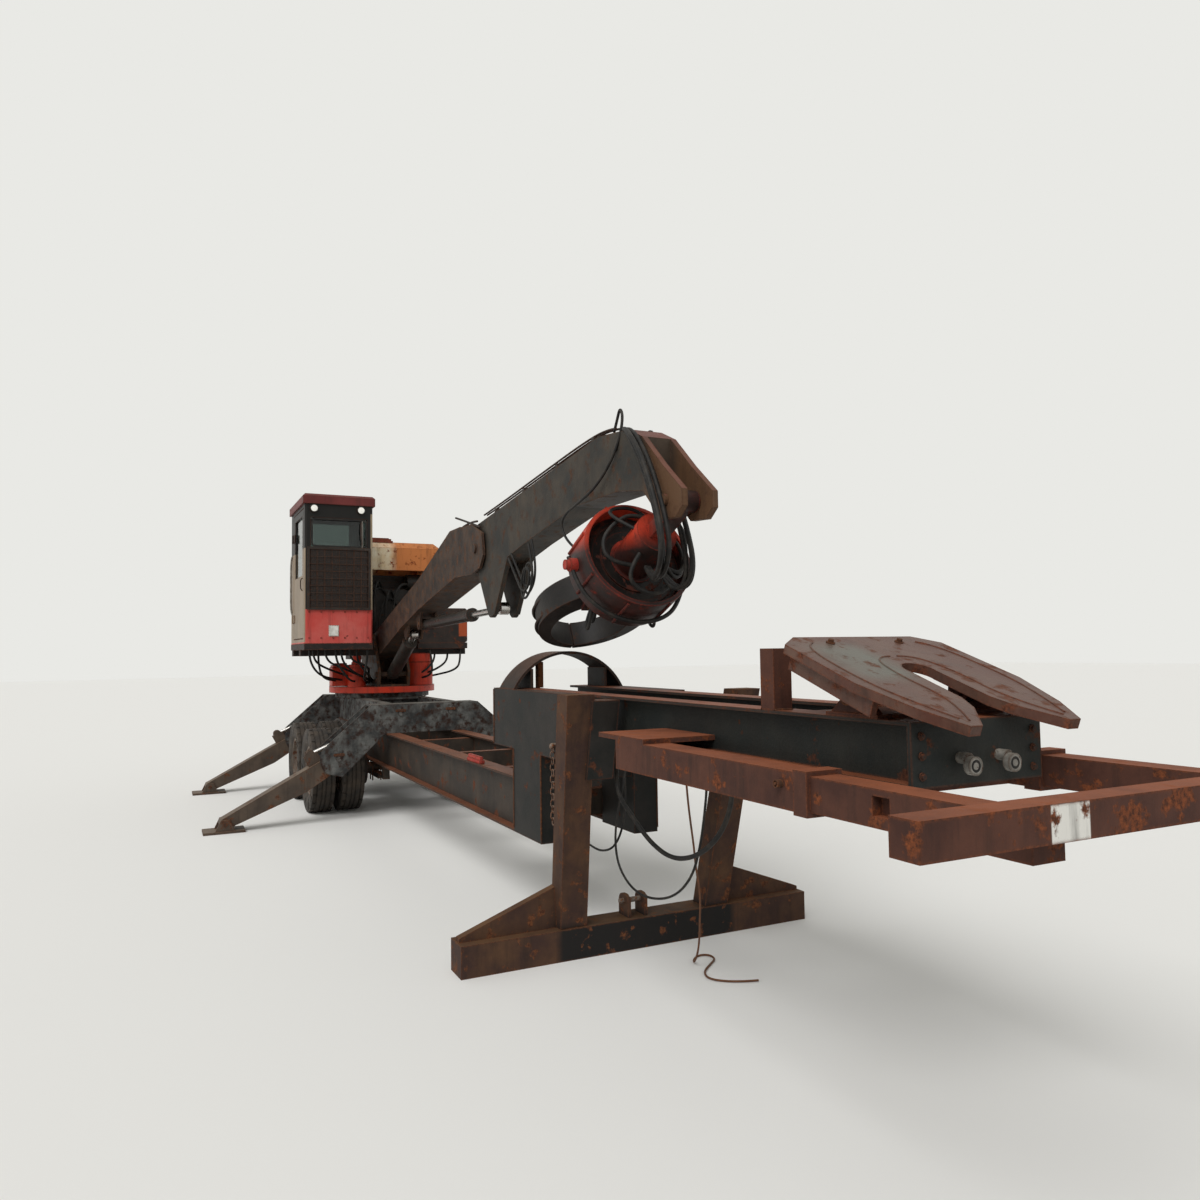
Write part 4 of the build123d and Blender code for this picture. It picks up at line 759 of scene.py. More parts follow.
# Coupling plate
#
# A cast horseshoe that takes a kingpin, tipped down in front on its two pins. Cast steel,
# worn and rusted, with old grey-green grease left in its hollows.
grease_pool = (("X", slew_x + 9.80, slew_x + 10.06), ("Y", -0.30, -0.14))
plate_grease = weathered_steel(
    "greased_cast_plate", paint="54342A", faded="62483C", rust="7A4630", rust_from=0.55, patch=0.22,
    top="5E4438", top_share=0.4, sheen=0.42, regions=((grease_pool, "646B62", 0.12),), feather=0.10,
)
dress(plate_grease, "coupling_plate")
tilt = math.radians(20)
on_plate = Matrix.Translation((slew_x + 10.0, 0, 1.71)) @ Matrix.Rotation(tilt, 4, "Y")

# Grease grooves' raised lips, rolled round the throat and along both arms
for hand, side in sides:
    for index, rail in enumerate((
        [(-0.34, 0.30), (-0.30, 0.38), (0.10, 0.40), (0.34, 0.34), (0.48, 0.28)],
        [(-0.16, 0.02), (-0.16, 0.12), (0.05, 0.17), (0.26, 0.15), (0.42, 0.20), (0.50, 0.25)],
    )):
        lip = [tuple(on_plate @ Vector((u, side * v, 0.100))) for u, v in rail]
        flexible_line(f"plate_lip_{index}_{hand}", lip, 0.009, plate_grease, "coupling_plate")
rim_bolts = bolts("plate_bolts_right", (0, 0, 0), 0.014, "Z", 1, bead_rust, "coupling_plate")
rim_bolts.data.transform(on_plate @ Matrix.Translation((-0.34, -0.20, 0.101)))
again(rim_bolts, "plate_bolts_left", mirrored, "coupling_plate")

# Turned caps on the pivot pins, stepped and dished, pressed on from each side
cap = begin(
    "pivot_cap_right",
    "cylinder",
    vertices=32,
    radius=0.043,
    depth=0.014,
    location=(slew_x + 10.0, -0.366, 1.71),
    rotation=crosswise,
)
choose(cap, "FACE", lambda middle: middle.y < -0.372)
inset_pull(0.008, 0, -0.006, 0)
inset_pull(0.012, 0, 0.004, 0)
close(cap, bead_rust, "chassis")
again(cap, "pivot_cap_left", mirrored, "chassis")

# Outriggers and loader base
#
# Two cross beams of doubled plate carry a folding leg on each side, which a cylinder swings
# down on to its hinged foot. Thick plate in grey paint that has chipped off in big flakes.
beam_paint = weathered_steel(
    "chipped_grey_paint", paint="2E2F2F", faded="6A6A67", rust="241F1C", rust_from=0.47, patch=0.16,
    top="6E6A61", top_share=0.45, sheen=0.6, feather=0.16,
)
dress(beam_paint, "outrigger_beam_front", "outrigger_beam_rear", "loader_base")
leg_paint = weathered_steel(
    "worn_leg_paint", paint="433A33", faded="5B4D41", rust="6A4631", rust_from=0.57, patch=0.35,
    top="6F5E4D", top_share=0.5,
)
corners = [f"{end}_{hand}" for end in ("front", "rear") for hand in ("right", "left")]
dress(leg_paint, *["outrigger_leg_" + corner for corner in corners])
barrel_paint = weathered_steel(
    "black_cylinder_paint", paint="22211F", faded="38332E", rust="5A3C2B", rust_from=0.60,
    patch=0.12, top="50453A", top_share=0.4, sheen=0.4,
)
dress(barrel_paint, *["outrigger_barrel_" + corner for corner in corners])
dress(barrel_paint, "lift_barrel", "stick_barrel", "cab_guard")

# Ground and chromed rod: bright, with a thin brown film
rod_chrome, surface = new_material("hard_chromed_rod")
where = add(rod_chrome, "TexCoord", {}).outputs["Object"]
film = add(rod_chrome, "TexNoise", {"Vector": where, "Scale": 18.0, "Detail": 4.0})
tone = add(
    rod_chrome,
    "Mix",
    {0: film.outputs["Fac"], 6: linear("D9DADB"), 7: linear("9C9284")},
    data_type="RGBA",
)
polish = add(rod_chrome, "MapRange", {"Value": film.outputs["Fac"], "To Min": 0.08, "To Max": 0.4})
connect(
    rod_chrome,
    surface,
    {"Metallic": 1.0, "Base Color": tone.outputs[2], "Roughness": polish.outputs[0]},
)
dress(rod_chrome, *["outrigger_rod_" + corner for corner in corners])
dress(rod_chrome, "lift_rod", "stick_rod")

# Pin heads with a keeper bar on each beam plate, and the two hoses of each leg's cylinder
keeper = begin("beam_keeper_pattern", "cube", size=1, sized=(0.012, 0.12, 0.03))
choose(keeper, "EDGE", lambda middle: abs(middle.y) > 0.05 and abs(middle.z) > 0.01)
bpy.ops.mesh.bevel(offset=0.012, segments=3)
choose(keeper, "FACE", lambda middle: middle.x > 0.005)
inset_pull(0.004, 0.004, 0, 0)
close(keeper, bead_rust, "chassis")
for end, station in (("front", slew_x + 2.15), ("rear", slew_x - 0.95)):
    for hand, side in sides:
        for face, out in (("fore", 1), ("aft", -1)):
            turned = Matrix.Rotation(0 if out > 0 else math.pi, 4, "Z")
            for pin, y, z in (("leg", 1.0, 0.765), ("cylinder", 0.3, 1.235)):
                place = Matrix.Translation((station + out * 0.159, side * y, z))
                again(keeper, f"keeper_{pin}_{end}_{hand}_{face}", place @ turned, "chassis")
        for index, shift in enumerate((-0.035, 0.035)):
            route = [
                (station + shift, side * 0.10, 1.17),
                (station + shift, side * 0.22, 1.25),
                (station + 1.4 * shift, side * 0.42, 1.23),
                (station + 1.4 * shift, side * 0.56, 1.13),
            ]
            flexible_line(
                f"leg_hose_{index}_{end}_{hand}",
                route,
                0.018,
                hose_rubber,
                f"outrigger_barrel_{end}_{hand}",
            )
bpy.data.objects.remove(keeper)

# Foot pins of the legs, through the lugs of each pad
front_legs_x = slew_x + 2.15
foot_pin = begin(
    "foot_pin_front_right",
    "cylinder",
    vertices=20,
    radius=0.024,
    depth=0.27,
    location=(front_legs_x, -2.18, 0.095),
    rotation=lengthwise,
)
choose(foot_pin, "FACE", lambda middle: abs(middle.x - front_legs_x) > 0.13)
bpy.ops.mesh.inset(thickness=0.005)
close(foot_pin, bead_rust, "outrigger_leg_front_right")
rearward = Matrix.Translation((-3.1, 0, 0))
again(foot_pin, "foot_pin_front_left", mirrored, "outrigger_leg_front_left")
again(foot_pin, "foot_pin_rear_right", rearward, "outrigger_leg_rear_right")
again(foot_pin, "foot_pin_rear_left", rearward @ mirrored, "outrigger_leg_rear_left")
bolts(
    "base_ring_bolts",
    (slew_x + 0.60, 0, 1.31),
    0.012,
    "Z",
    36,
    bead_rust,
    "chassis",
    ring=(slew_x, 0, 1.31),
)

# Axles and wheels
#
# Two axles on leaf springs, each end with twin truck tyres on dished disc rims that share
# one hub. Moulded rubber, pressed steel rims and a cast hub with ten studs.

# Bias-ply truck tyre rubber, moulded: brown-grey from dust in patches, nearly black between them
tyre_rubber, surface = new_material("dusty_tyre_rubber")
where = add(tyre_rubber, "TexCoord", {}).outputs["Object"]
film = add(tyre_rubber, "TexNoise", {"Vector": where, "Scale": 7.0, "Detail": 8.0, "Roughness": 0.68})
dusty = add(tyre_rubber, "MapRange", {"Value": film.outputs["Fac"], "From Min": 0.35, "From Max": 0.65})
tone = add(
    tyre_rubber,
    "Mix",
    {0: dusty.outputs[0], 6: linear("211F1D"), 7: linear("463C32")},
    data_type="RGBA",
)
grit = add(tyre_rubber, "TexNoise", {"Vector": where, "Scale": 120.0, "Detail": 3.0})
relief = add(tyre_rubber, "Bump", {"Height": grit.outputs["Fac"], "Strength": 0.3, "Distance": 0.003})
connect(
    tyre_rubber,
    surface,
    {"Base Color": tone.outputs[2], "Roughness": 0.85, "Normal": relief.outputs[0]},
)
rim_paint = weathered_steel(
    "rusted_rim_paint", paint="6A625A", faded="7D7468", rust="6A4430", rust_from=0.52, patch=0.12,
    top="6F6256", top_share=0.2,
)
hub_paint = weathered_steel(
    "dusty_cast_hub", paint="4A4440", faded="5C544B", rust="6A4430", rust_from=0.55, patch=0.06,
    top="6F6256", top_share=0.2,
)

axle_x, axle_z, tyre_y = slew_x + 1.35, 0.5, -1.0825
tyre = begin(
    "tyre_outer_front_right",
    "plane",
    size=1,
    location=(axle_x, tyre_y, axle_z + 0.393),
    rotation=lengthwise,
    sized=(0.214, 0.265, 1),
)
choose(tyre, "EDGE", lambda middle: middle.z > axle_z + 0.499)
bpy.ops.mesh.subdivide(number_cuts=17)
choose(tyre, "EDGE", lambda middle: abs(middle.y - tyre_y) > 0.132)
bpy.ops.mesh.subdivide(number_cuts=5)
for low, high, inward in (
    (0.28, 0.29, 0.034), (0.31, 0.33, 0.014), (0.34, 0.37, 0.003), (0.45, 0.47, 0.006)
):
    for side in (-1, 1):
        choose(
            tyre,
            "VERT",
            lambda middle: low < middle.z - axle_z < high and (middle.y - tyre_y) * side > 0.13,
        )
        move(0, -side * inward, 0)
choose(tyre, "VERT", lambda middle: middle.z > axle_z + 0.499 and abs(middle.y - tyre_y) > 0.13)
bpy.ops.mesh.bevel(offset=0.022, segments=3, affect="VERTICES")
bpy.ops.mesh.select_all(action="SELECT")
bpy.ops.mesh.delete(type="ONLY_FACE")
bpy.ops.mesh.select_all(action="SELECT")
bpy.ops.mesh.spin(steps=96, angle=2 * math.pi, center=(axle_x, tyre_y, axle_z), axis=(0, 1, 0))
bpy.ops.mesh.select_all(action="SELECT")
bpy.ops.mesh.remove_doubles(threshold=0.0004)
bpy.ops.mesh.normals_make_consistent(inside=False)


def reach(middle):
    """How far from the front axle's line a point lies."""
    return math.hypot(middle.x - axle_x, middle.z - axle_z)


def sector(middle, count):
    """In which of so many equal sectors round the front axle's line a point lies."""
    angle = math.atan2(middle.z - axle_z, middle.x - axle_x) + math.pi
    return int(angle / (2 * math.pi) * count)


choose(
    tyre,
    "FACE",
    lambda middle: reach(middle) > 0.496
    and min(abs(abs(middle.y - tyre_y) - 0.0221), abs(abs(middle.y - tyre_y) - 0.0809)) < 0.006,
)
bpy.ops.mesh.extrude_region_shrink_fatten(TRANSFORM_OT_shrink_fatten={"value": -0.012})
choose(
    tyre,
    "FACE",
    lambda middle: reach(middle) > 0.494
    and abs(middle.y - tyre_y) > 0.088
    and sector(middle, 96) % 4 == 0,
)
bpy.ops.mesh.extrude_region_shrink_fatten(TRANSFORM_OT_shrink_fatten={"value": -0.008})
close(tyre, tyre_rubber, "wheel_front_right")

rim = begin(
    "rim_outer_front_right",
    "cylinder",
    vertices=80,
    radius=0.289,
    depth=0.205,
    location=(axle_x, tyre_y, axle_z),
    rotation=crosswise,
)
for depth, width in ((0.0, 0.018), (0.022, 0.012), (0.018, 0.010), (0.055, 0.030)):
    choose(rim, "FACE", lambda middle: middle.y < tyre_y - 0.02 and reach(middle) < 0.05)
    bpy.ops.mesh.inset(thickness=width)
    choose(rim, "FACE", lambda middle: middle.y < tyre_y - 0.02 and reach(middle) < 0.05)
    pull(0, depth, 0)
bpy.ops.mesh.inset(thickness=0.075)
choose(
    rim,
    "FACE",
    lambda middle: 0.14 < reach(middle) < 0.20
    and middle.y < tyre_y
    and sector(middle, 80) % 10 in (3, 4, 5, 6),
)
inset_pull(0.012, 0, 0.012, 0)
close(rim, rim_paint, "wheel_front_right")

hub = begin(
    "hub_front_right",
    "cylinder",
    vertices=48,
    radius=0.125,
    depth=0.12,
    location=(axle_x, -1.045, axle_z),
    rotation=crosswise,
)
for depth, width in ((-0.022, 0.020), (-0.020, 0.008), (-0.010, 0.014)):
    choose(hub, "FACE", lambda middle: middle.y < -1.1 and reach(middle) < 0.02)
    inset_pull(width, 0, depth, 0)
close(hub, hub_paint, "wheel_front_right")
studs = bolts(
    "studs_front_right",
    (axle_x, -1.04, axle_z + 0.148),
    0.015,
    "Y",
    10,
    hub_paint,
    "wheel_front_right",
    ring=(axle_x, -1.04, axle_z),
)
inward = Matrix.Translation((0, 0.34, 0))
for end, axle_shift in (("front", Matrix.Identity(4)), ("rear", Matrix.Translation((-1.2, 0, 0)))):
    for hand, over in (("right", Matrix.Identity(4)), ("left", mirrored)):
        body = f"wheel_{end}_{hand}"
        again(tyre, f"tyre_inner_{end}_{hand}", over @ axle_shift @ inward, body)
        again(rim, f"rim_inner_{end}_{hand}", over @ axle_shift @ inward, body)
        if (end, hand) == ("front", "right"):
            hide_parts(body)
            continue
        outer = again(tyre, f"tyre_outer_{end}_{hand}", over @ axle_shift, body)
        again(rim, f"rim_outer_{end}_{hand}", over @ axle_shift, body)
        again(hub, f"hub_{end}_{hand}", over @ axle_shift, body)
        again(studs, f"studs_{end}_{hand}", over @ axle_shift, body)
        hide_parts(body)

# U-bolts that clamp each spring to its axle
strap = [
    (-0.05, 0.33), (-0.05, 0.43), (-0.05, 0.55), (-0.03, 0.57), (0.03, 0.57), (0.05, 0.55),
    (0.05, 0.43), (0.05, 0.33),
]
for end, x in (("front", 1.35), ("rear", 0.15)):
    for hand, side in sides:
        for index, beside in enumerate((-0.05, 0.05)):
            bent = [(slew_x + x + u * 1.3, side * 0.385 + beside, z) for u, z in strap]
            flexible_line(f"u_bolt_{end}_{hand}_{index}", bent, 0.016, bead_rust, "chassis")

# Turntable, mast and platform
#
# A machined slew ring turns on the base and carries two drive housings and the mast, whose
# plates hold the boom and the lift cylinder. Red enamel on the ring, oily dark mast plates.
ring_enamel = weathered_steel(
    "red_slew_enamel", paint="C4361F", faded="B43A26", rust="5A3426", rust_from=0.64, patch=0.22,
    top="A8523A", top_share=0.35, sheen=0.4,
)
dress(ring_enamel, "turntable")
mast_paint = weathered_steel(
    "mast_paint", paint="26211E", faded="4A382C", rust="7A5238", rust_from=0.53, patch=0.14,
    top="5C4636", top_share=0.4,
)
dress(mast_paint, "mast")
platform_paint = weathered_steel(
    "platform_paint", paint="1F1C1B", faded="352B26", rust="6A3E2A", rust_from=0.58, patch=0.20,
    top="5C4636", top_share=0.4,
)
dress(platform_paint, "platform")
bolts(
    "slew_ring_bolts",
    (slew_x + 0.50, 0, 1.461),
    0.011,
    "Z",
    32,
    ring_enamel,
    "superstructure",
    ring=(slew_x, 0, 1.461),
)

# Drive motors on their housings: a flange, a cast body and a stepped end
motor_x, motor_y = slew_x + 0.43, -0.44
motor = begin(
    "drive_motor_right",
    "cylinder",
    vertices=40,
    radius=0.10,
    depth=0.05,
    location=(motor_x, motor_y, 1.735),
)
for width, height in ((0.030, 0.030), (0.012, 0.085), (0.014, 0.025)):
    choose(
        motor,
        "FACE",
        lambda middle: middle.z > 1.755
        and math.hypot(middle.x - motor_x, middle.y - motor_y) < 0.01,
    )
    inset_pull(width, 0, 0, height)
inset_pull(0.01, 0, 0, -0.008)
close(motor, ring_enamel, "superstructure")
again(motor, "drive_motor_left", Matrix.Translation((-0.86, 0.88, 0)), "superstructure")

# Brake housing left of the mast: a wide case and a cap above it, with a dark seam between
brake_case = begin(
    "brake_case",
    "cylinder",
    vertices=56,
    radius=0.205,
    depth=0.31,
    location=(slew_x + 0.40, 0.40, 1.62),
)
choose(brake_case, "FACE", lambda middle: middle.z > 1.77)
for width, height in (
    (0.006, 0.008), (0.035, 0.0), (-0.030, 0.035), (0.0, 0.075), (0.012, 0.010), (0.10, -0.012)
):
    bpy.ops.mesh.inset(thickness=max(width, 0.0001))
    if width < 0:
        bpy.ops.transform.resize(value=(1.18, 1.18, 1))
    pull(0, 0, height)
close(brake_case, ring_enamel, "superstructure")

# Pinion cover on the ring's right edge, a folded box with a sloped lid
pinion_cover = begin(
    "pinion_cover", "cube", size=1, location=(slew_x + 0.26, -0.63, 1.60), sized=(0.26, 0.24, 0.25)
)
choose(pinion_cover, "FACE", lambda middle: middle.z > 1.70)
inset_pull(0.012, 0, 0.0, 0.03)
inset_pull(0.03, 0, 0.0, 0.025)
choose(pinion_cover, "EDGE", lambda middle: middle.z > 1.5)
bpy.ops.mesh.bevel(offset=0.008, segments=2)
close(pinion_cover, ring_enamel, "superstructure")

# Hoses from the swivel up to the cab floor, tank and boom, sagging under the platform
for index, (start, sag, end) in enumerate((
    ((0.10, -0.30, 1.50), (0.84, -0.62, 1.56), (0.92, -0.80, 1.955)),
    ((0.04, -0.34, 1.50), (0.80, -0.98, 1.62), (0.90, -1.12, 1.955)),
    ((0.20, -0.26, 1.50), (0.88, -0.44, 1.58), (0.94, -0.40, 1.955)),
    ((0.24, -0.24, 1.50), (0.82, -0.36, 1.74), (0.90, -0.62, 1.955)),
    ((0.00, -0.36, 1.50), (0.60, -0.92, 1.58), (0.70, -0.98, 1.955)),
    ((0.16, 0.22, 1.50), (0.80, 0.50, 1.60), (0.58, 0.52, 1.955)),
    ((0.10, 0.30, 1.50), (0.62, 0.90, 1.66), (0.56, 0.96, 1.955)),
    ((0.10, -0.12, 1.48), (0.75, -0.35, 1.62), (0.86, -0.52, 1.955)),
    ((0.14, -0.10, 1.48), (0.80, -0.55, 1.66), (0.86, -0.72, 1.955)),
    ((0.18, -0.08, 1.48), (0.84, -0.70, 1.72), (0.86, -0.92, 1.955)),
    ((0.06, -0.14, 1.48), (0.70, -0.85, 1.70), (0.80, -1.06, 1.955)),
    ((0.06, 0.12, 1.48), (0.66, 0.42, 1.64), (0.45, 0.62, 1.955)),
    ((0.12, 0.14, 1.48), (0.70, 0.60, 1.68), (0.45, 0.80, 1.955)),
)):
    middle = [(a + b) / 2 for a, b in zip(start, sag)]
    route = [
        (slew_x + x, y, z)
        for x, y, z in (start, middle, sag, ((sag[0] + end[0]) / 2, end[1], 1.82), end)
    ]
    flexible_line(f"floor_hose_{index}", route, 0.028, hose_rubber, "superstructure")

# Cab
#
# A tall sheet-steel cab with a barred guard over its lower front pane. Red enamel below,
# black frames above, all faded; glazing set in rubber.
above = (("Z", 2.475, 3.83),)
side_face = (("Y", -1.3, -1.19), ("Z", 2.06, 3.25))
left_corner = (("X", slew_x + 0.98, slew_x + 1.06), ("Y", -0.372, -0.34), ("Z", 2.475, 3.72))
cab_enamel = weathered_steel(
    "faded_cab_enamel", paint="BE4740", faded="C4625A", rust="5C3527", rust_from=0.66, patch=0.45,
    top="8D5347", top_share=0.4, sheen=0.45,
    regions=(
        (above, "171614", 0.004), (side_face, "8D7C68", 0.004), (left_corner, "A8967C", 0.004)
    ),
)
dress(cab_enamel, "cab_shell", "cab_door")
roof_enamel = weathered_steel(
    "faded_roof_enamel", paint="5C2624", faded="6C302E", rust="4A2E24", rust_from=0.62, patch=0.35,
    top="74463E", top_share=0.5, sheen=0.5,
)
dress(roof_enamel, "cab_roof")

# Laminated glass: clear, with a thin film of dust
cab_glazing, surface = new_material("laminated_cab_glass")
where = add(cab_glazing, "TexCoord", {}).outputs["Object"]
film = add(cab_glazing, "TexNoise", {"Vector": where, "Scale": 5.0, "Detail": 6.0, "Roughness": 0.7})
haze = add(
    cab_glazing,
    "MapRange",
    {"Value": film.outputs["Fac"], "From Min": 0.4, "To Min": 0.02, "To Max": 0.3},
)
connect(
    cab_glazing,
    surface,
    {
        "Base Color": linear("7F8C88"),
        "Transmission Weight": 1.0,
        "IOR": 1.45,
        "Roughness": haze.outputs[0],
    },
)
dress(cab_glazing, "cab_glass", "cab_door_glass")

# Calendered vinyl over foam: black, soft sheen, dusty in its grain
seat_vinyl, surface = new_material("black_seat_vinyl")
where = add(seat_vinyl, "TexCoord", {}).outputs["Object"]
film = add(seat_vinyl, "TexNoise", {"Vector": where, "Scale": 12.0, "Detail": 5.0})
tone = add(
    seat_vinyl,
    "Mix",
    {0: film.outputs["Fac"], 6: linear("1D1C1B"), 7: linear("35312D")},
    data_type="RGBA",
)
leather_grain = add(seat_vinyl, "TexVoronoi", {"Vector": where, "Scale": 400.0})
relief = add(
    seat_vinyl,
    "Bump",
    {"Height": leather_grain.outputs["Distance"], "Strength": 0.3, "Distance": 0.001},
)
connect(
    seat_vinyl,
    surface,
    {"Base Color": tone.outputs[2], "Roughness": 0.55, "Normal": relief.outputs[0]},
)
dress(seat_vinyl, "cab_seat")

# Padded lining on the inside of the left wall, in the seat's vinyl
lining = begin(
    "cab_lining", "cube", size=1, location=(slew_x + 0.20, -0.405, 3.10), sized=(0.66, 0.020, 1.20)
)
choose(lining, "FACE", lambda middle: middle.y < -0.41)
inset_pull(0.03, 0, -0.012, 0)
bpy.ops.mesh.select_all(action="SELECT")
bpy.ops.mesh.bevel(offset=0.004, segments=2)
close(lining, seat_vinyl, "superstructure")

# Woven wire behind the guard's bars: black wire, crossed and welded in a frame
pane_y, guard_z = -0.7725, 2.87
mesh_wire = weathered_steel(
    "black_woven_wire", paint="1C1B1A", faded="2B2825", rust="5A3C2B", rust_from=0.64, patch=0.12,
    top="3A342E", top_share=0.2, sheen=0.5,
)
screen = begin(
    "guard_screen",
    "grid",
    x_subdivisions=36,
    y_subdivisions=34,
    size=1,
    location=(slew_x + 1.012, pane_y, guard_z),
    rotation=lengthwise,
    sized=(0.76, 0.74, 1),
)
bpy.ops.mesh.select_all(action="SELECT")
bpy.ops.mesh.wireframe(thickness=0.005, use_even_offset=False, use_boundary=True, use_replace=True)
close(screen, mesh_wire, "superstructure")

# Painted shade: a nearly black sheet behind the guard stands in for the shaded inside of the cab,
# mottled and dulled by noise
shade_sheet_paint, surface = new_material("smoked_polycarbonate")
where = add(shade_sheet_paint, "TexCoord", {}).outputs["Object"]
shade_mottle = add(
    shade_sheet_paint, "TexNoise", {"Vector": where, "Scale": 9.0, "Detail": 7.0, "Roughness": 0.7}
)
tone = add(
    shade_sheet_paint,
    "Mix",
    {0: shade_mottle.outputs["Fac"], 6: linear("151413"), 7: linear("2A2826")},
    data_type="RGBA",
)
dull = add(shade_sheet_paint, "MapRange", {"Value": shade_mottle.outputs["Fac"], "To Min": 0.25, "To Max": 0.6})
connect(shade_sheet_paint, surface, {"Base Color": tone.outputs[2], "Roughness": dull.outputs[0]})
painted_shade_piece = begin(
    "guard_backing",
    "cube",
    size=1,
    location=(slew_x + 0.996, pane_y, guard_z),
    sized=(0.004, 0.74, 0.77),
)
choose(painted_shade_piece, "EDGE", lambda middle: abs(middle.y - pane_y) > 0.36 and abs(middle.z - guard_z) > 0.38)
bpy.ops.mesh.bevel(offset=0.03, segments=5)
choose(painted_shade_piece, "FACE", lambda middle: middle.x > slew_x + 0.997)
inset_pull(0.006, 0.001, 0, 0)
close(painted_shade_piece, shade_sheet_paint, "superstructure")

# Rubber seal round the upper front pane
seal_ring = begin(
    "front_pane_seal",
    "plane",
    size=1,
    location=(slew_x + 1.001, pane_y, 3.455),
    rotation=lengthwise,
    sized=(0.37, 0.70, 1),
)
choose(seal_ring, "VERT", lambda middle: True)
bpy.ops.mesh.bevel(offset=0.05, segments=5, affect="VERTICES")
choose(seal_ring, "FACE", lambda middle: True)
bpy.ops.mesh.inset(thickness=0.022)
bpy.ops.mesh.delete(type="FACE")
bpy.ops.mesh.select_all(action="SELECT")
pull(0.008, 0, 0)
close(seal_ring, hose_rubber, "superstructure")

# Lamp lenses: pressed glass, slightly domed, in a rubber ring; their near-white colour and faint glow
# are a painted highlight
lens_glint_paint, surface = new_material("pressed_lamp_glass")
where = add(lens_glint_paint, "TexCoord", {}).outputs["Object"]
film = add(lens_glint_paint, "TexNoise", {"Vector": where, "Scale": 40.0, "Detail": 3.0})
tone = add(
    lens_glint_paint,
    "Mix",
    {0: film.outputs["Fac"], 6: linear("F4F3EE"), 7: linear("CFCBC0")},
    data_type="RGBA",
)
connect(
    lens_glint_paint,
    surface,
    {
        "Base Color": tone.outputs[2],
        "Roughness": 0.15,
        "Emission Color": linear("F4F3EE"),
        "Emission Strength": 0.25,
    },
)
lamp_y, lamp_z = -1.088, 3.76
lamp_spacing = Matrix.Translation((0, 0.588, 0))
lens = begin(
    "work_lamp_lens_right",
    "cylinder",
    vertices=40,
    radius=0.044,
    depth=0.004,
    location=(slew_x + 1.0265, lamp_y, lamp_z),
    rotation=lengthwise,
)
for width, height in ((0.010, 0.004), (0.012, 0.002), (0.012, 0.001)):
    choose(
        lens,
        "FACE",
        lambda middle: middle.x > slew_x + 1.0275
        and math.hypot(middle.y - lamp_y, middle.z - lamp_z) < 0.01,
    )
    inset_pull(width, height, 0, 0)
close(lens, lens_glint_paint, "superstructure", 60)
again(lens, "work_lamp_lens_left", lamp_spacing, "superstructure")
lamp_rim = begin(
    "work_lamp_rim_right",
    "torus",
    major_radius=0.047,
    minor_radius=0.006,
    major_segments=40,
    minor_segments=10,
    location=(slew_x + 1.026, lamp_y, lamp_z),
    rotation=lengthwise,
)
choose(lamp_rim, "VERT", lambda middle: middle.x > slew_x + 1.028)
move(0.002, 0, 0)
close(lamp_rim, hose_rubber, "superstructure", 60)
again(lamp_rim, "work_lamp_rim_left", lamp_spacing, "superstructure")

# Wiper: a bent arm of flat steel with its rubber blade, parked upright at the left
flexible_line(
    "wiper_arm",
    [(slew_x + 1.020, y, z) for y, z in ((-0.50, 3.60), (-0.505, 3.50), (-0.50, 3.38))],
    0.012,
    mesh_wire,
    "superstructure",
)
blade = begin(
    "wiper_blade",
    "cube",
    size=1,
    location=(slew_x + 1.012, -0.485, 3.44),
    sized=(0.012, 0.014, 0.36),
)
choose(blade, "FACE", lambda middle: abs(middle.z - 3.44) > 0.17)
bpy.ops.mesh.inset(thickness=0.003)
close(blade, cast_coupling, "superstructure")

# Blank white plate on the red panel, and the panel's row of screws
tag_paint = weathered_steel(
    "blank_white_plate", paint="E6E4DE", faded="D0CCC2", rust="8A7A68", rust_from=0.66, patch=0.05,
    top="C8C2B4", top_share=0.2, sheen=0.4,
)
tag = begin(
    "cab_blank_plate",
    "cube",
    size=1,
    location=(slew_x + 1.003, -0.84, 2.20),
    sized=(0.008, 0.125, 0.14),
)
choose(tag, "FACE", lambda middle: middle.x > slew_x + 1.005)
inset_pull(0.008, 0.002, 0, 0)
close(tag, tag_paint, "superstructure")
bolts(
    "panel_bolts_low",
    (slew_x + 1.001, -1.14, 2.11),
    0.008,
    "X",
    6,
    cab_enamel,
    "superstructure",
    step=(0, 0.147, 0),
)
bolts(
    "panel_bolts_high",
    (slew_x + 1.001, -1.14, 2.44),
    0.008,
    "X",
    6,
    cab_enamel,
    "superstructure",
    step=(0, 0.147, 0),
)

# Door handle: a bent bar on two feet; and the grab rail beside the door
flexible_line(
    "door_handle",
    [
        (slew_x + x, y, z)
        for x, y, z in (
            (0.82, -1.201, 2.72), (0.82, -1.222, 2.73), (0.82, -1.224, 2.80), (0.82, -1.222, 2.87),
            (0.82, -1.201, 2.88),
        )
    ],
    0.014,
    mesh_wire,
    "cab_door",
)
flexible_line(
    "grab_rail",
    [
        (slew_x + x, y, z)
        for x, y, z in (
            (-0.12, -1.201, 2.45), (-0.12, -1.222, 2.47), (-0.12, -1.224, 2.85),
            (-0.12, -1.222, 3.23), (-0.12, -1.201, 3.25),
        )
    ],
    0.024,
    cast_coupling,
    "superstructure",
)

# Levers in the cab: a bent stalk with a round knob on each control post
for hand, y in (("right", -1.055), ("left", -0.49)):
    flexible_line(
        f"control_stalk_{hand}",
        [(slew_x + x, y, z) for x, z in ((0.30, 2.64), (0.31, 2.72), (0.35, 2.80))],
        0.014,
        mesh_wire,
        "superstructure",
    )
    knob = begin(
        f"control_knob_{hand}",
        "uv_sphere",
        segments=20,
        ring_count=12,
        radius=0.026,
        location=(slew_x + 0.352, y, 2.82),
    )
    choose(knob, "VERT", lambda middle: middle.z < 2.81)
    move(0, 0, -0.012)
    close(knob, seat_vinyl, "superstructure", 60)

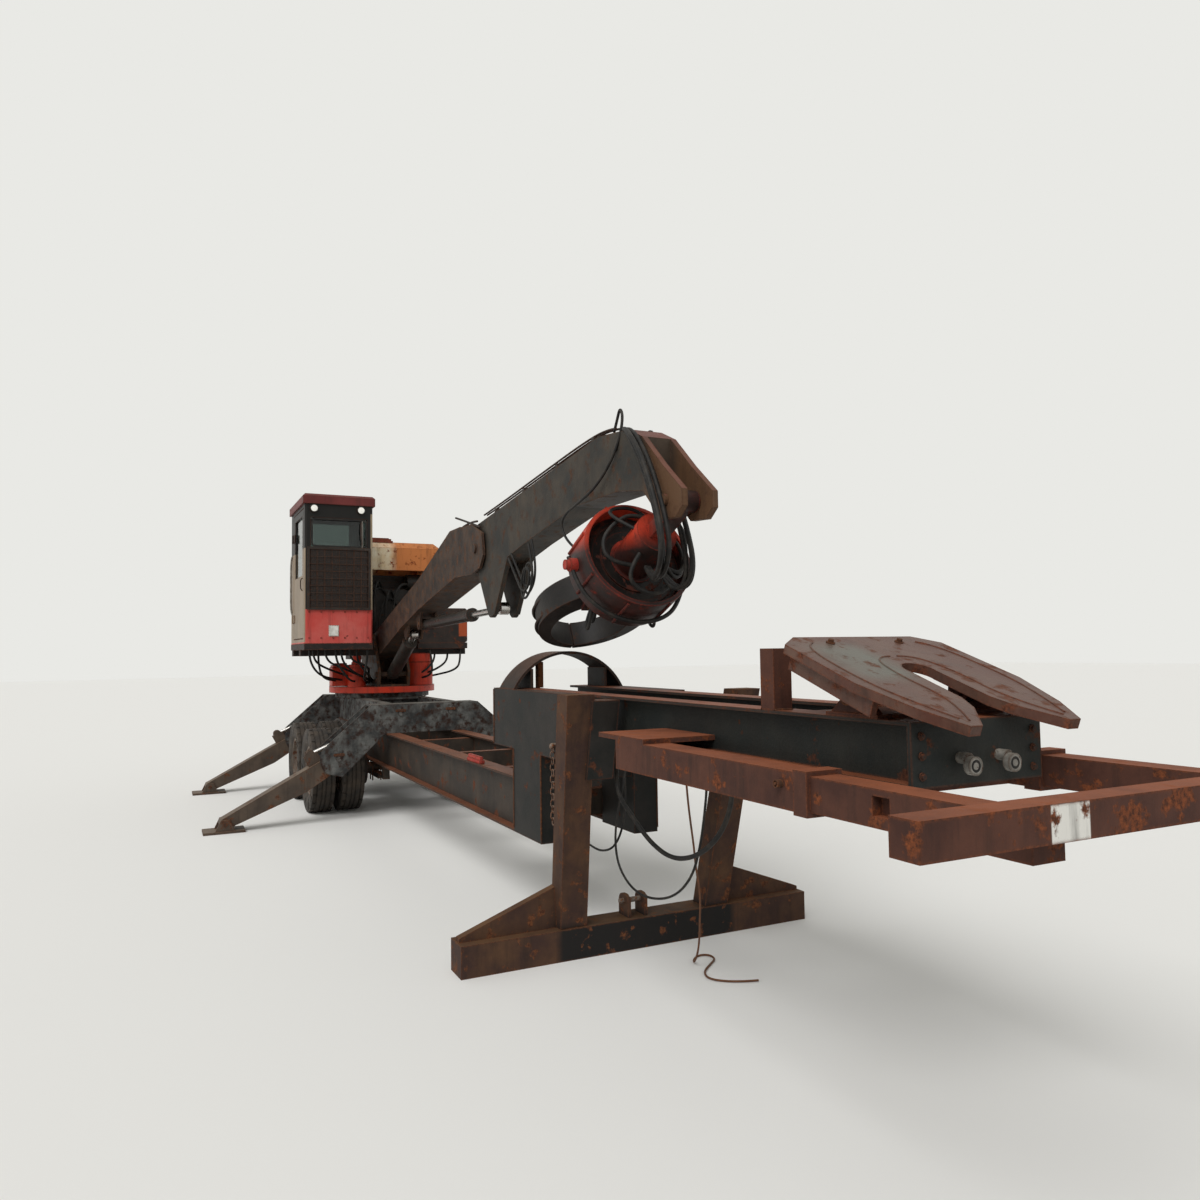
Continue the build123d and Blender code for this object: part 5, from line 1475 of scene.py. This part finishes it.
# Engine hood and oil tank
#
# A sheet hood with louvres stands over the engine behind the cab, open in front; the oil
# tank stands left of the boom. Cream enamel peeling from rust on the hood, red on the tank.
left_half = (("Y", 0.30, 1.2), ("Z", 3.0, 3.60))
hood_enamel = weathered_steel(
    "peeling_hood_enamel", paint="DDD2BA", faded="CDB287", rust="9A4620", rust_from=0.56,
    patch=0.20, top="A86A3E", top_share=0.6, sheen=0.5, regions=((left_half, "BE7440", 0.12),),
    feather=0.09,
)
dress(hood_enamel, "engine_hood")
orange_end = (("Y", 0.93, 1.1), ("Z", 2.13, 2.47))
tank_enamel = weathered_steel(
    "oily_tank_enamel", paint="221E1C", faded="3A2C25", rust="5C3527", rust_from=0.58, patch=0.2,
    top="40332A", top_share=0.4, sheen=0.5, regions=((orange_end, "A24A28", 0.004),),
)
dress(tank_enamel, "oil_tank")
engine_paint = weathered_steel(
    "oily_engine_casting", paint="262422", faded="35302C", rust="5A4030", rust_from=0.60,
    patch=0.12, top="38312B", top_share=0.4, sheen=0.45,
)
dress(engine_paint, "engine_block")

# Low hatch of rusted sheet on the hood's right front
hatch = begin(
    "hood_hatch", "cube", size=1, location=(slew_x - 0.62, 0.05, 3.545), sized=(0.40, 0.40, 0.03)
)
choose(hatch, "FACE", lambda middle: middle.z > 3.55)
inset_pull(0.02, 0, 0, 0.03)
inset_pull(0.03, 0, 0, 0.015)
hatch_rust = weathered_steel(
    "rusted_hatch_sheet", paint="6A3226", faded="7C4030", rust="8A4A2C", rust_from=0.52, patch=0.12,
    top="7A4028", top_share=0.5, sheen=0.8,
)
close(hatch, hatch_rust, "superstructure")

# Oil cooler behind the bay's opening: a finned core in a folded frame
cooler_y, core_height = 0.32, 0.0231
cooler = begin(
    "oil_cooler", "cube", size=1, location=(slew_x - 0.86, cooler_y, 2.86), sized=(0.07, 0.98, 0.44)
)
choose(cooler, "FACE", lambda middle: middle.x > slew_x - 0.83)
inset_pull(0.035, -0.018, 0, 0)
bpy.ops.mesh.subdivide(number_cuts=15)
for step in range(0, 16, 2):
    low = 2.675 + step * core_height
    choose(
        cooler,
        "FACE",
        lambda middle: middle.x > slew_x - 0.845
        and low < middle.z < low + core_height
        and abs(middle.y - cooler_y) < 0.45,
    )
    pull(0.010, 0, 0)
close(cooler, engine_paint, "superstructure")

# Radiator in the bay's rear opening: header tanks, side posts and a core of folded fins
radiator_y, fin_height = 0.325, 0.025625
radiator = begin(
    "radiator", "cube", size=1, location=(slew_x - 1.60, radiator_y, 2.60), sized=(0.09, 1.10, 0.96)
)
choose(radiator, "FACE", lambda middle: middle.x < slew_x - 1.64)
inset_pull(0.07, 0.02, 0, 0)
bpy.ops.mesh.subdivide(number_cuts=31)
for step in range(0, 32, 2):
    low = 2.19 + step * fin_height
    choose(
        radiator,
        "FACE",
        lambda middle: middle.x < slew_x - 1.61
        and low < middle.z < low + fin_height
        and abs(middle.y - radiator_y) < 0.479,
    )
    pull(-0.012, 0, 0)
close(radiator, engine_paint, "superstructure")

# Fan guard rings bent from rod, on the radiator's rear
for index, size in enumerate((0.10, 0.19, 0.28, 0.37)):
    turns = [math.radians(30 * step) for step in range(13)]
    guard_ring = [
        (slew_x - 1.652, radiator_y + size * math.cos(a), 2.60 + size * math.sin(a)) for a in turns
    ]
    flexible_line(f"fan_guard_ring_{index}", guard_ring, 0.009, mesh_wire, "superstructure")
for index in range(6):
    turn = math.radians(60 * index + 15)
    spoke = [
        (slew_x - 1.656, radiator_y + r * math.cos(turn), 2.60 + r * math.sin(turn))
        for r in (0.02, 0.20, 0.39)
    ]
    flexible_line(f"fan_guard_spoke_{index}", spoke, 0.009, mesh_wire, "superstructure")

# Air cleaner: a long drawn can with rounded ends, beside the cooler
cleaner_y = 0.74
cleaner = begin(
    "air_cleaner",
    "cylinder",
    vertices=40,
    radius=0.12,
    depth=0.52,
    location=(slew_x - 0.60, cleaner_y, 2.96),
    rotation=crosswise,
)
choose(cleaner, "FACE", lambda middle: abs(middle.y - cleaner_y) > 0.255)
inset_pull(0.02, 0, 0, 0)
bpy.ops.mesh.inset(thickness=0.03)
choose(cleaner, "EDGE", lambda middle: abs(middle.y - cleaner_y) > 0.255)
bpy.ops.mesh.bevel(offset=0.012, segments=3)
close(cleaner, engine_paint, "superstructure")

# Belt hoses and loom in the open front of the engine bay
for index, (y, high, reach_y) in enumerate(
    (
        (-0.16, 3.04, 0.10), (-0.10, 2.95, 0.20), (-0.02, 3.06, 0.12), (0.05, 2.80, 0.35),
        (0.14, 2.92, 0.30), (0.25, 3.02, 0.60), (0.34, 2.74, 0.66), (0.50, 2.90, 0.78),
        (0.62, 3.04, 0.84),
    ),
):
    route = [
        (slew_x - 0.40, y, 2.10),
        (slew_x - 0.36, y - 0.04, high - 0.35),
        (slew_x - 0.42, (y + reach_y) / 2, high),
        (slew_x - 0.60, reach_y, high - 0.2),
    ]
    flexible_line(f"bay_hose_{index}", route, 0.034, hose_rubber, "superstructure")

# Filler cap on the tank's lid, a turned cap with a knurled rim
filler_x, filler_y = slew_x + 0.16, 0.70
filler = begin(
    "tank_filler_cap",
    "cylinder",
    vertices=32,
    radius=0.062,
    depth=0.05,
    location=(filler_x, filler_y, 2.60),
)
choose(filler, "FACE", lambda middle: middle.z > 2.62)
inset_pull(0.012, 0, 0, 0.008)
choose(filler, "FACE", lambda middle: math.hypot(middle.x - filler_x, middle.y - filler_y) > 0.058)
bpy.ops.mesh.inset(thickness=0.003, use_individual=True)
close(filler, bead_rust, "superstructure")

# Main boom and stick
#
# A cranked box boom and a longer box stick with a down-turned nose, each lifted by its own
# cylinder; steel pipes and hoses run along them. Thick grime over old paint and rust.
boom_paint = weathered_steel(
    "grimy_boom_paint", paint="27211E", faded="4A392E", rust="755038", rust_from=0.52, patch=0.18,
    top="5E4A3A", top_share=0.5, sheen=0.6, feather=0.16,
)
dress(boom_paint, "main_boom")
nose_rust = (("X", slew_x + 8.02, slew_x + 8.6),)
stick_paint = weathered_steel(
    "grimy_stick_paint", paint="282724", faded="423A31", rust="5C4230", rust_from=0.54, patch=0.24,
    top="6E3F36", top_share=0.7, sheen=0.6, regions=((nose_rust, "5E4430", 0.15),), feather=0.16,
)
dress(stick_paint, "stick")

# Steel pipes along the stick's top, clamped to short posts, painted over with grime
for index, y in enumerate((-0.085, -0.055)):
    route = [(4.72, 3.20), (5.14, 3.235), (6.15, 3.335), (6.95, 3.412), (7.32, 3.425), (7.47, 3.40)]
    flexible_line(
        f"stick_pipe_{index}", [(slew_x + x, y, z) for x, z in route], 0.016, mesh_wire, "stick"
    )
for index, (x, z) in enumerate(((5.10, 3.183), (5.80, 3.252), (6.50, 3.322), (7.15, 3.388))):
    clamp = begin(
        f"pipe_clamp_{index}",
        "cube",
        size=1,
        location=(slew_x + x, -0.07, z),
        sized=(0.04, 0.08, 0.05),
    )
    choose(clamp, "EDGE", lambda middle: middle.z > z + 0.02)
    bpy.ops.mesh.bevel(offset=0.008, segments=2)
    close(clamp, mesh_wire, "stick")

# Thin guard rods that stand above the knuckle
flexible_line(
    "knuckle_rod_high",
    [(slew_x + x, -0.15, z) for x, z in ((4.02, 3.265), (4.40, 3.175), (4.78, 3.075))],
    0.02,
    mesh_wire,
    "main_boom",
)
flexible_line(
    "knuckle_rod_low",
    [(slew_x + x, -0.15, z) for x, z in ((4.10, 3.12), (4.38, 3.17), (4.70, 3.14))],
    0.02,
    mesh_wire,
    "main_boom",
)

# Upright loop of hose where the pipes end, and the hoses that hang over the nose
flexible_line(
    "nose_loop",
    [
        (slew_x + x, y, z)
        for x, y, z in (
            (7.44, -0.085, 3.38), (7.50, -0.09, 3.46), (7.56, -0.10, 3.52), (7.62, -0.11, 3.45),
            (7.60, -0.125, 3.30), (7.50, -0.150, 3.15), (7.30, -0.165, 3.02), (7.02, -0.172, 2.95),
            (6.76, -0.172, 2.90), (6.71, -0.165, 2.80), (6.86, -0.150, 2.66), (7.06, -0.12, 2.56),
        )
    ],
    0.020,
    hose_rubber,
    "stick",
)

# Slack hoses that hang in two turns below the stick, ahead of its heel
for index, (side, drop) in enumerate(((-0.15, 0.0), (-0.175, -0.04))):
    flexible_line(
        f"heel_loop_{index}",
        [
            (slew_x + x, side + 0.02 * math.sin(9 * x), z + drop)
            for x, z in (
                (5.60, 2.74), (5.72, 2.58), (5.92, 2.42), (6.12, 2.46), (6.14, 2.60), (6.00, 2.63),
                (5.88, 2.52), (5.90, 2.40), (6.04, 2.36), (6.18, 2.46), (6.19, 2.64), (6.12, 2.80),
            )
        ],
        0.020,
        hose_rubber,
        "stick",
    )

# Grapple
#
# Two curved jaws pinned to a head that hangs from the stick's nose through a rotator. Worn
# red enamel on the head, scuffed bare steel on the jaws, and hoses looped round all of it.
red_crown = (("X", slew_x + 6.9, slew_x + 7.85), ("Z", 2.64, 3.0))
grapple_paint = weathered_steel(
    "greased_grapple_enamel", paint="231C1A", faded="43211C", rust="8E2E20", rust_from=0.57,
    patch=0.20, top="2A211D", top_share=0.3, sheen=0.45, regions=((red_crown, "B23A26", 0.10),),
    feather=0.14,
)
dress(grapple_paint, "grapple_hanger", "grapple_head")
tine_steel = weathered_steel(
    "scuffed_tine_steel", paint="1B1918", faded="2A2623", rust="463024", rust_from=0.60, patch=0.25,
    top="302A25", top_share=0.4, sheen=0.5,
)
dress(tine_steel, "grapple_tine_right", "grapple_tine_left")

# The grapple's own directions: along it from the nose pin, across it, and out of its jaws
hang = math.radians(204.7)
along = Vector((math.cos(hang), 0, math.sin(hang)))
across = Vector((0, 1, 0))
out_of_jaws = Vector((-math.sin(hang), 0, math.cos(hang)))
nose = Vector((slew_x + 8.18, 0, 2.80))
on_grapple = Matrix((along, across, -out_of_jaws)).transposed().to_4x4()
on_grapple.translation = nose


def by_grapple(reach_out, side, up):
    """A point by its distance along the grapple from the nose pin, to its side and upward."""
    return tuple(nose + along * reach_out + across * side - out_of_jaws * up)


# Hose bundle from the stick's pipes over the nose to the rotator: black rubber, worn grey
over_nose = [
    (7.62, 3.36), (7.78, 3.31), (7.95, 3.13), (8.07, 2.94), (8.17, 2.73), (8.24, 2.52),
    (8.16, 2.36), (7.98, 2.33), (7.84, 2.42),
]
pinch = [0.5, 0.9, 1.0, 1.0, 1.0, 1.0, 0.9, 0.6, 0.4]
spread = [0.0, 0.5, 1.0, 1.0, 1.0, 1.0, 0.8, 0.5, 0.2]
for index, (side, shift) in enumerate(
    (
        (-0.19, 0.0), (-0.16, -0.03), (-0.15, 0.03), (-0.21, 0.05), (0.15, -0.27), (0.17, -0.23),
        (0.19, -0.25),
    ),
):
    route = [
        (slew_x + x + shift * wide, side * narrow, z + 0.3 * shift * wide)
        for (x, z), narrow, wide in zip(over_nose, pinch, spread)
    ]
    nose_hose = flexible_line(f"nose_hose_{index}", route, 0.032, hose_rubber)
    bpy.ops.object.select_all(action="DESELECT")
    nose_hose.select_set(True)
    bpy.context.view_layer.objects.active = nose_hose
    bpy.ops.object.convert(target="MESH")
    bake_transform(nose_hose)

# Loose hoses on the rotator's housing, which cross in front of the drum
for index, (points, thick) in enumerate(
    (
        (
            (
                (0.44, 0.10, 0.12), (0.47, -0.06, 0.22), (0.52, -0.20, 0.16), (0.56, -0.30, 0.04),
                (0.58, -0.27, -0.10), (0.56, -0.12, -0.13),
            ),
            0.030,
        ),
        (
            (
                (0.42, 0.13, 0.04), (0.44, 0.24, 0.16), (0.50, 0.30, 0.05), (0.54, 0.28, -0.12),
                (0.54, 0.18, -0.22), (0.52, 0.06, -0.12),
            ),
            0.030,
        ),
        (
            (
                (0.46, 0.06, -0.12), (0.52, 0.12, -0.24), (0.57, 0.24, -0.20), (0.58, 0.30, -0.04),
                (0.57, 0.27, 0.10), (0.52, 0.12, 0.10),
            ),
            0.026,
        ),
        (
            (
                (0.46, -0.10, -0.10), (0.52, -0.20, -0.22), (0.57, -0.10, -0.32),
                (0.58, 0.06, -0.33), (0.57, 0.16, -0.24), (0.53, 0.10, -0.10),
            ),
            0.028,
        ),
        (
            (
                (0.42, -0.12, 0.06), (0.50, -0.24, 0.20), (0.57, -0.16, 0.31), (0.58, 0.00, 0.33),
                (0.55, 0.10, 0.22), (0.50, 0.08, 0.12),
            ),
            0.024,
        ),
    ),
):
    flexible_line(
        f"rotator_hose_{index}",
        [by_grapple(*point) for point in points],
        thick,
        hose_rubber,
        "grapple_hanger",
    )

# Round drum behind the rotator: a rim rolled from plate and a floor welded into it, with
# the jaws' hoses led round inside. Red outside, black with grease inside


def from_axis(middle):
    """How far along the grapple's axis a point lies, and how far out from it."""
    reach_out = (middle - nose).dot(along)
    return reach_out, (middle - nose - along * reach_out).length


drum_turn = (0, math.radians(270) - hang, 0)
drum = begin(
    "head_drum",
    "cylinder",
    vertices=72,
    radius=0.39,
    depth=0.30,
    location=by_grapple(0.78, 0, 0),
    rotation=drum_turn,
)
choose(drum, "FACE", lambda middle: from_axis(middle)[0] < 0.64 and from_axis(middle)[1] < 0.1)
inset_pull(0.030, *(along * 0.13))
inset_pull(0.17, *(along * 0.02))
choose(drum, "FACE", lambda middle: from_axis(middle)[0] > 0.92 and from_axis(middle)[1] < 0.1)
inset_pull(0.030, *(along * -0.06))
choose(
    drum,
    "EDGE",
    lambda middle: from_axis(middle)[1] > 0.38 and abs(from_axis(middle)[0] - 0.78) > 0.14,
)
bpy.ops.mesh.bevel(offset=0.008, segments=2)
close(drum, grapple_paint, "grapple_head")

# Greased plate ring on the drum's floor, turned in three steps
greased_steel = weathered_steel(
    "greased_black_steel", paint="161413", faded="231E1B", rust="5A2A20", rust_from=0.56,
    patch=0.14, top="201C19", top_share=0.3, sheen=0.35,
)
ring = begin(
    "drum_floor_ring",
    "cylinder",
    vertices=64,
    radius=0.352,
    depth=0.016,
    location=by_grapple(0.752, 0, 0),
    rotation=drum_turn,
)
choose(ring, "FACE", lambda middle: from_axis(middle)[0] < 0.746 and from_axis(middle)[1] < 0.1)
for width, height in ((0.03, 0.014), (0.03, -0.010), (0.06, 0.012)):
    inset_pull(width, *(along * -height))
close(ring, greased_steel, "grapple_head")

# Hose clipped round the drum's rim from the swivel, and ribs welded across the rim
rim_route = [
    (-0.43, 0.06), (-0.42, -0.10), (-0.35, -0.26), (-0.20, -0.385), (0.00, -0.43), (0.20, -0.385),
    (0.33, -0.26), (0.40, -0.12),
]
flexible_line(
    "rim_hose",
    [by_grapple(0.80, side, up) for side, up in rim_route],
    0.030,
    hose_rubber,
    "grapple_head",
)
for index in range(8):
    angle = math.radians(22.5 + 45 * index)
    rib = [by_grapple(r, 0.394 * math.cos(angle), 0.394 * math.sin(angle)) for r in (0.65, 0.78, 0.91)]
    flexible_line(f"drum_rib_{index}", rib, 0.022, grapple_paint, "grapple_head")

# Loops from the drum out to the jaws' cylinder
for index, (side, bulge, end_reach) in enumerate(
    ((-0.16, 0.30, 0.97), (-0.20, 0.36, 0.95), (0.16, 0.30, 0.97), (0.20, 0.34, 0.95))
):
    route = [
        by_grapple(0.90, side * 0.8, -0.06),
        by_grapple(0.98, side * 1.2, -bulge * 0.6),
        by_grapple(1.08, side * 1.3, -bulge),
        by_grapple(1.12, side * 1.2, -bulge * 0.7),
        by_grapple(end_reach, side * 0.9, -0.10),
    ]
    flexible_line(f"rotator_loop_{index}", route, 0.024, hose_rubber, "grapple_head")

# Jaw cylinder: a plain barrel across the head between its cheeks, rod to the left jaw
barrel = begin(
    "jaw_cylinder",
    "cylinder",
    vertices=36,
    radius=0.054,
    depth=0.30,
    location=by_grapple(0.93, -0.04, 0.0),
    rotation=crosswise,
)
choose(barrel, "FACE", lambda middle: middle.y > 0.10)
inset_pull(0.028, 0, 0.13, 0)
choose(barrel, "FACE", lambda middle: middle.y < -0.18)
inset_pull(0.02, 0, -0.05, 0)
close(barrel, barrel_paint, "grapple_head")

# Red hydraulic swivel on the right of the drum
swivel = begin(
    "grapple_swivel",
    "cylinder",
    vertices=32,
    radius=0.046,
    depth=0.06,
    location=by_grapple(0.80, -0.41, 0.0),
    rotation=crosswise,
)
choose(swivel, "FACE", lambda middle: middle.y < -0.43)
inset_pull(0.012, 0, -0.03, 0)
choose(swivel, "EDGE", lambda middle: middle.y > -0.385)
bpy.ops.mesh.bevel(offset=0.008, segments=2)
close(swivel, cleat_paint, "grapple_head")

# Wear ribs of round bar, welded along the jaws' outer backs
for hand, side in sides:
    for index, up in enumerate((-0.06, 0.06)):
        rib = [
            by_grapple(r, side * s, up)
            for r, s in (
                (1.12, 0.285), (1.25, 0.362), (1.40, 0.410), (1.55, 0.418), (1.70, 0.345),
                (1.80, 0.215), (1.86, 0.09),
            )
        ]
        flexible_line(f"jaw_rib_{index}_{hand}", rib, 0.022, tine_steel, f"grapple_tine_{hand}")

# Pin heads on the cheeks
jaw_pin = begin("jaw_pin_pattern", "cylinder", vertices=28, radius=0.042, depth=0.016)
choose(jaw_pin, "FACE", lambda middle: middle.z > 0.007)
inset_pull(0.010, 0, 0, 0.008)
close(jaw_pin, bead_rust, "grapple_head")
for hand, side in sides:
    for face, up in (("top", 0.138), ("low", -0.138)):
        turned = Matrix.Identity(4) if up > 0 else Matrix.Rotation(math.pi, 4, "X")
        place = on_grapple @ Matrix.Translation((1.13, side * 0.15, up)) @ turned
        again(jaw_pin, f"jaw_pin_{face}_{hand}", place, "grapple_head")
bpy.data.objects.remove(jaw_pin)
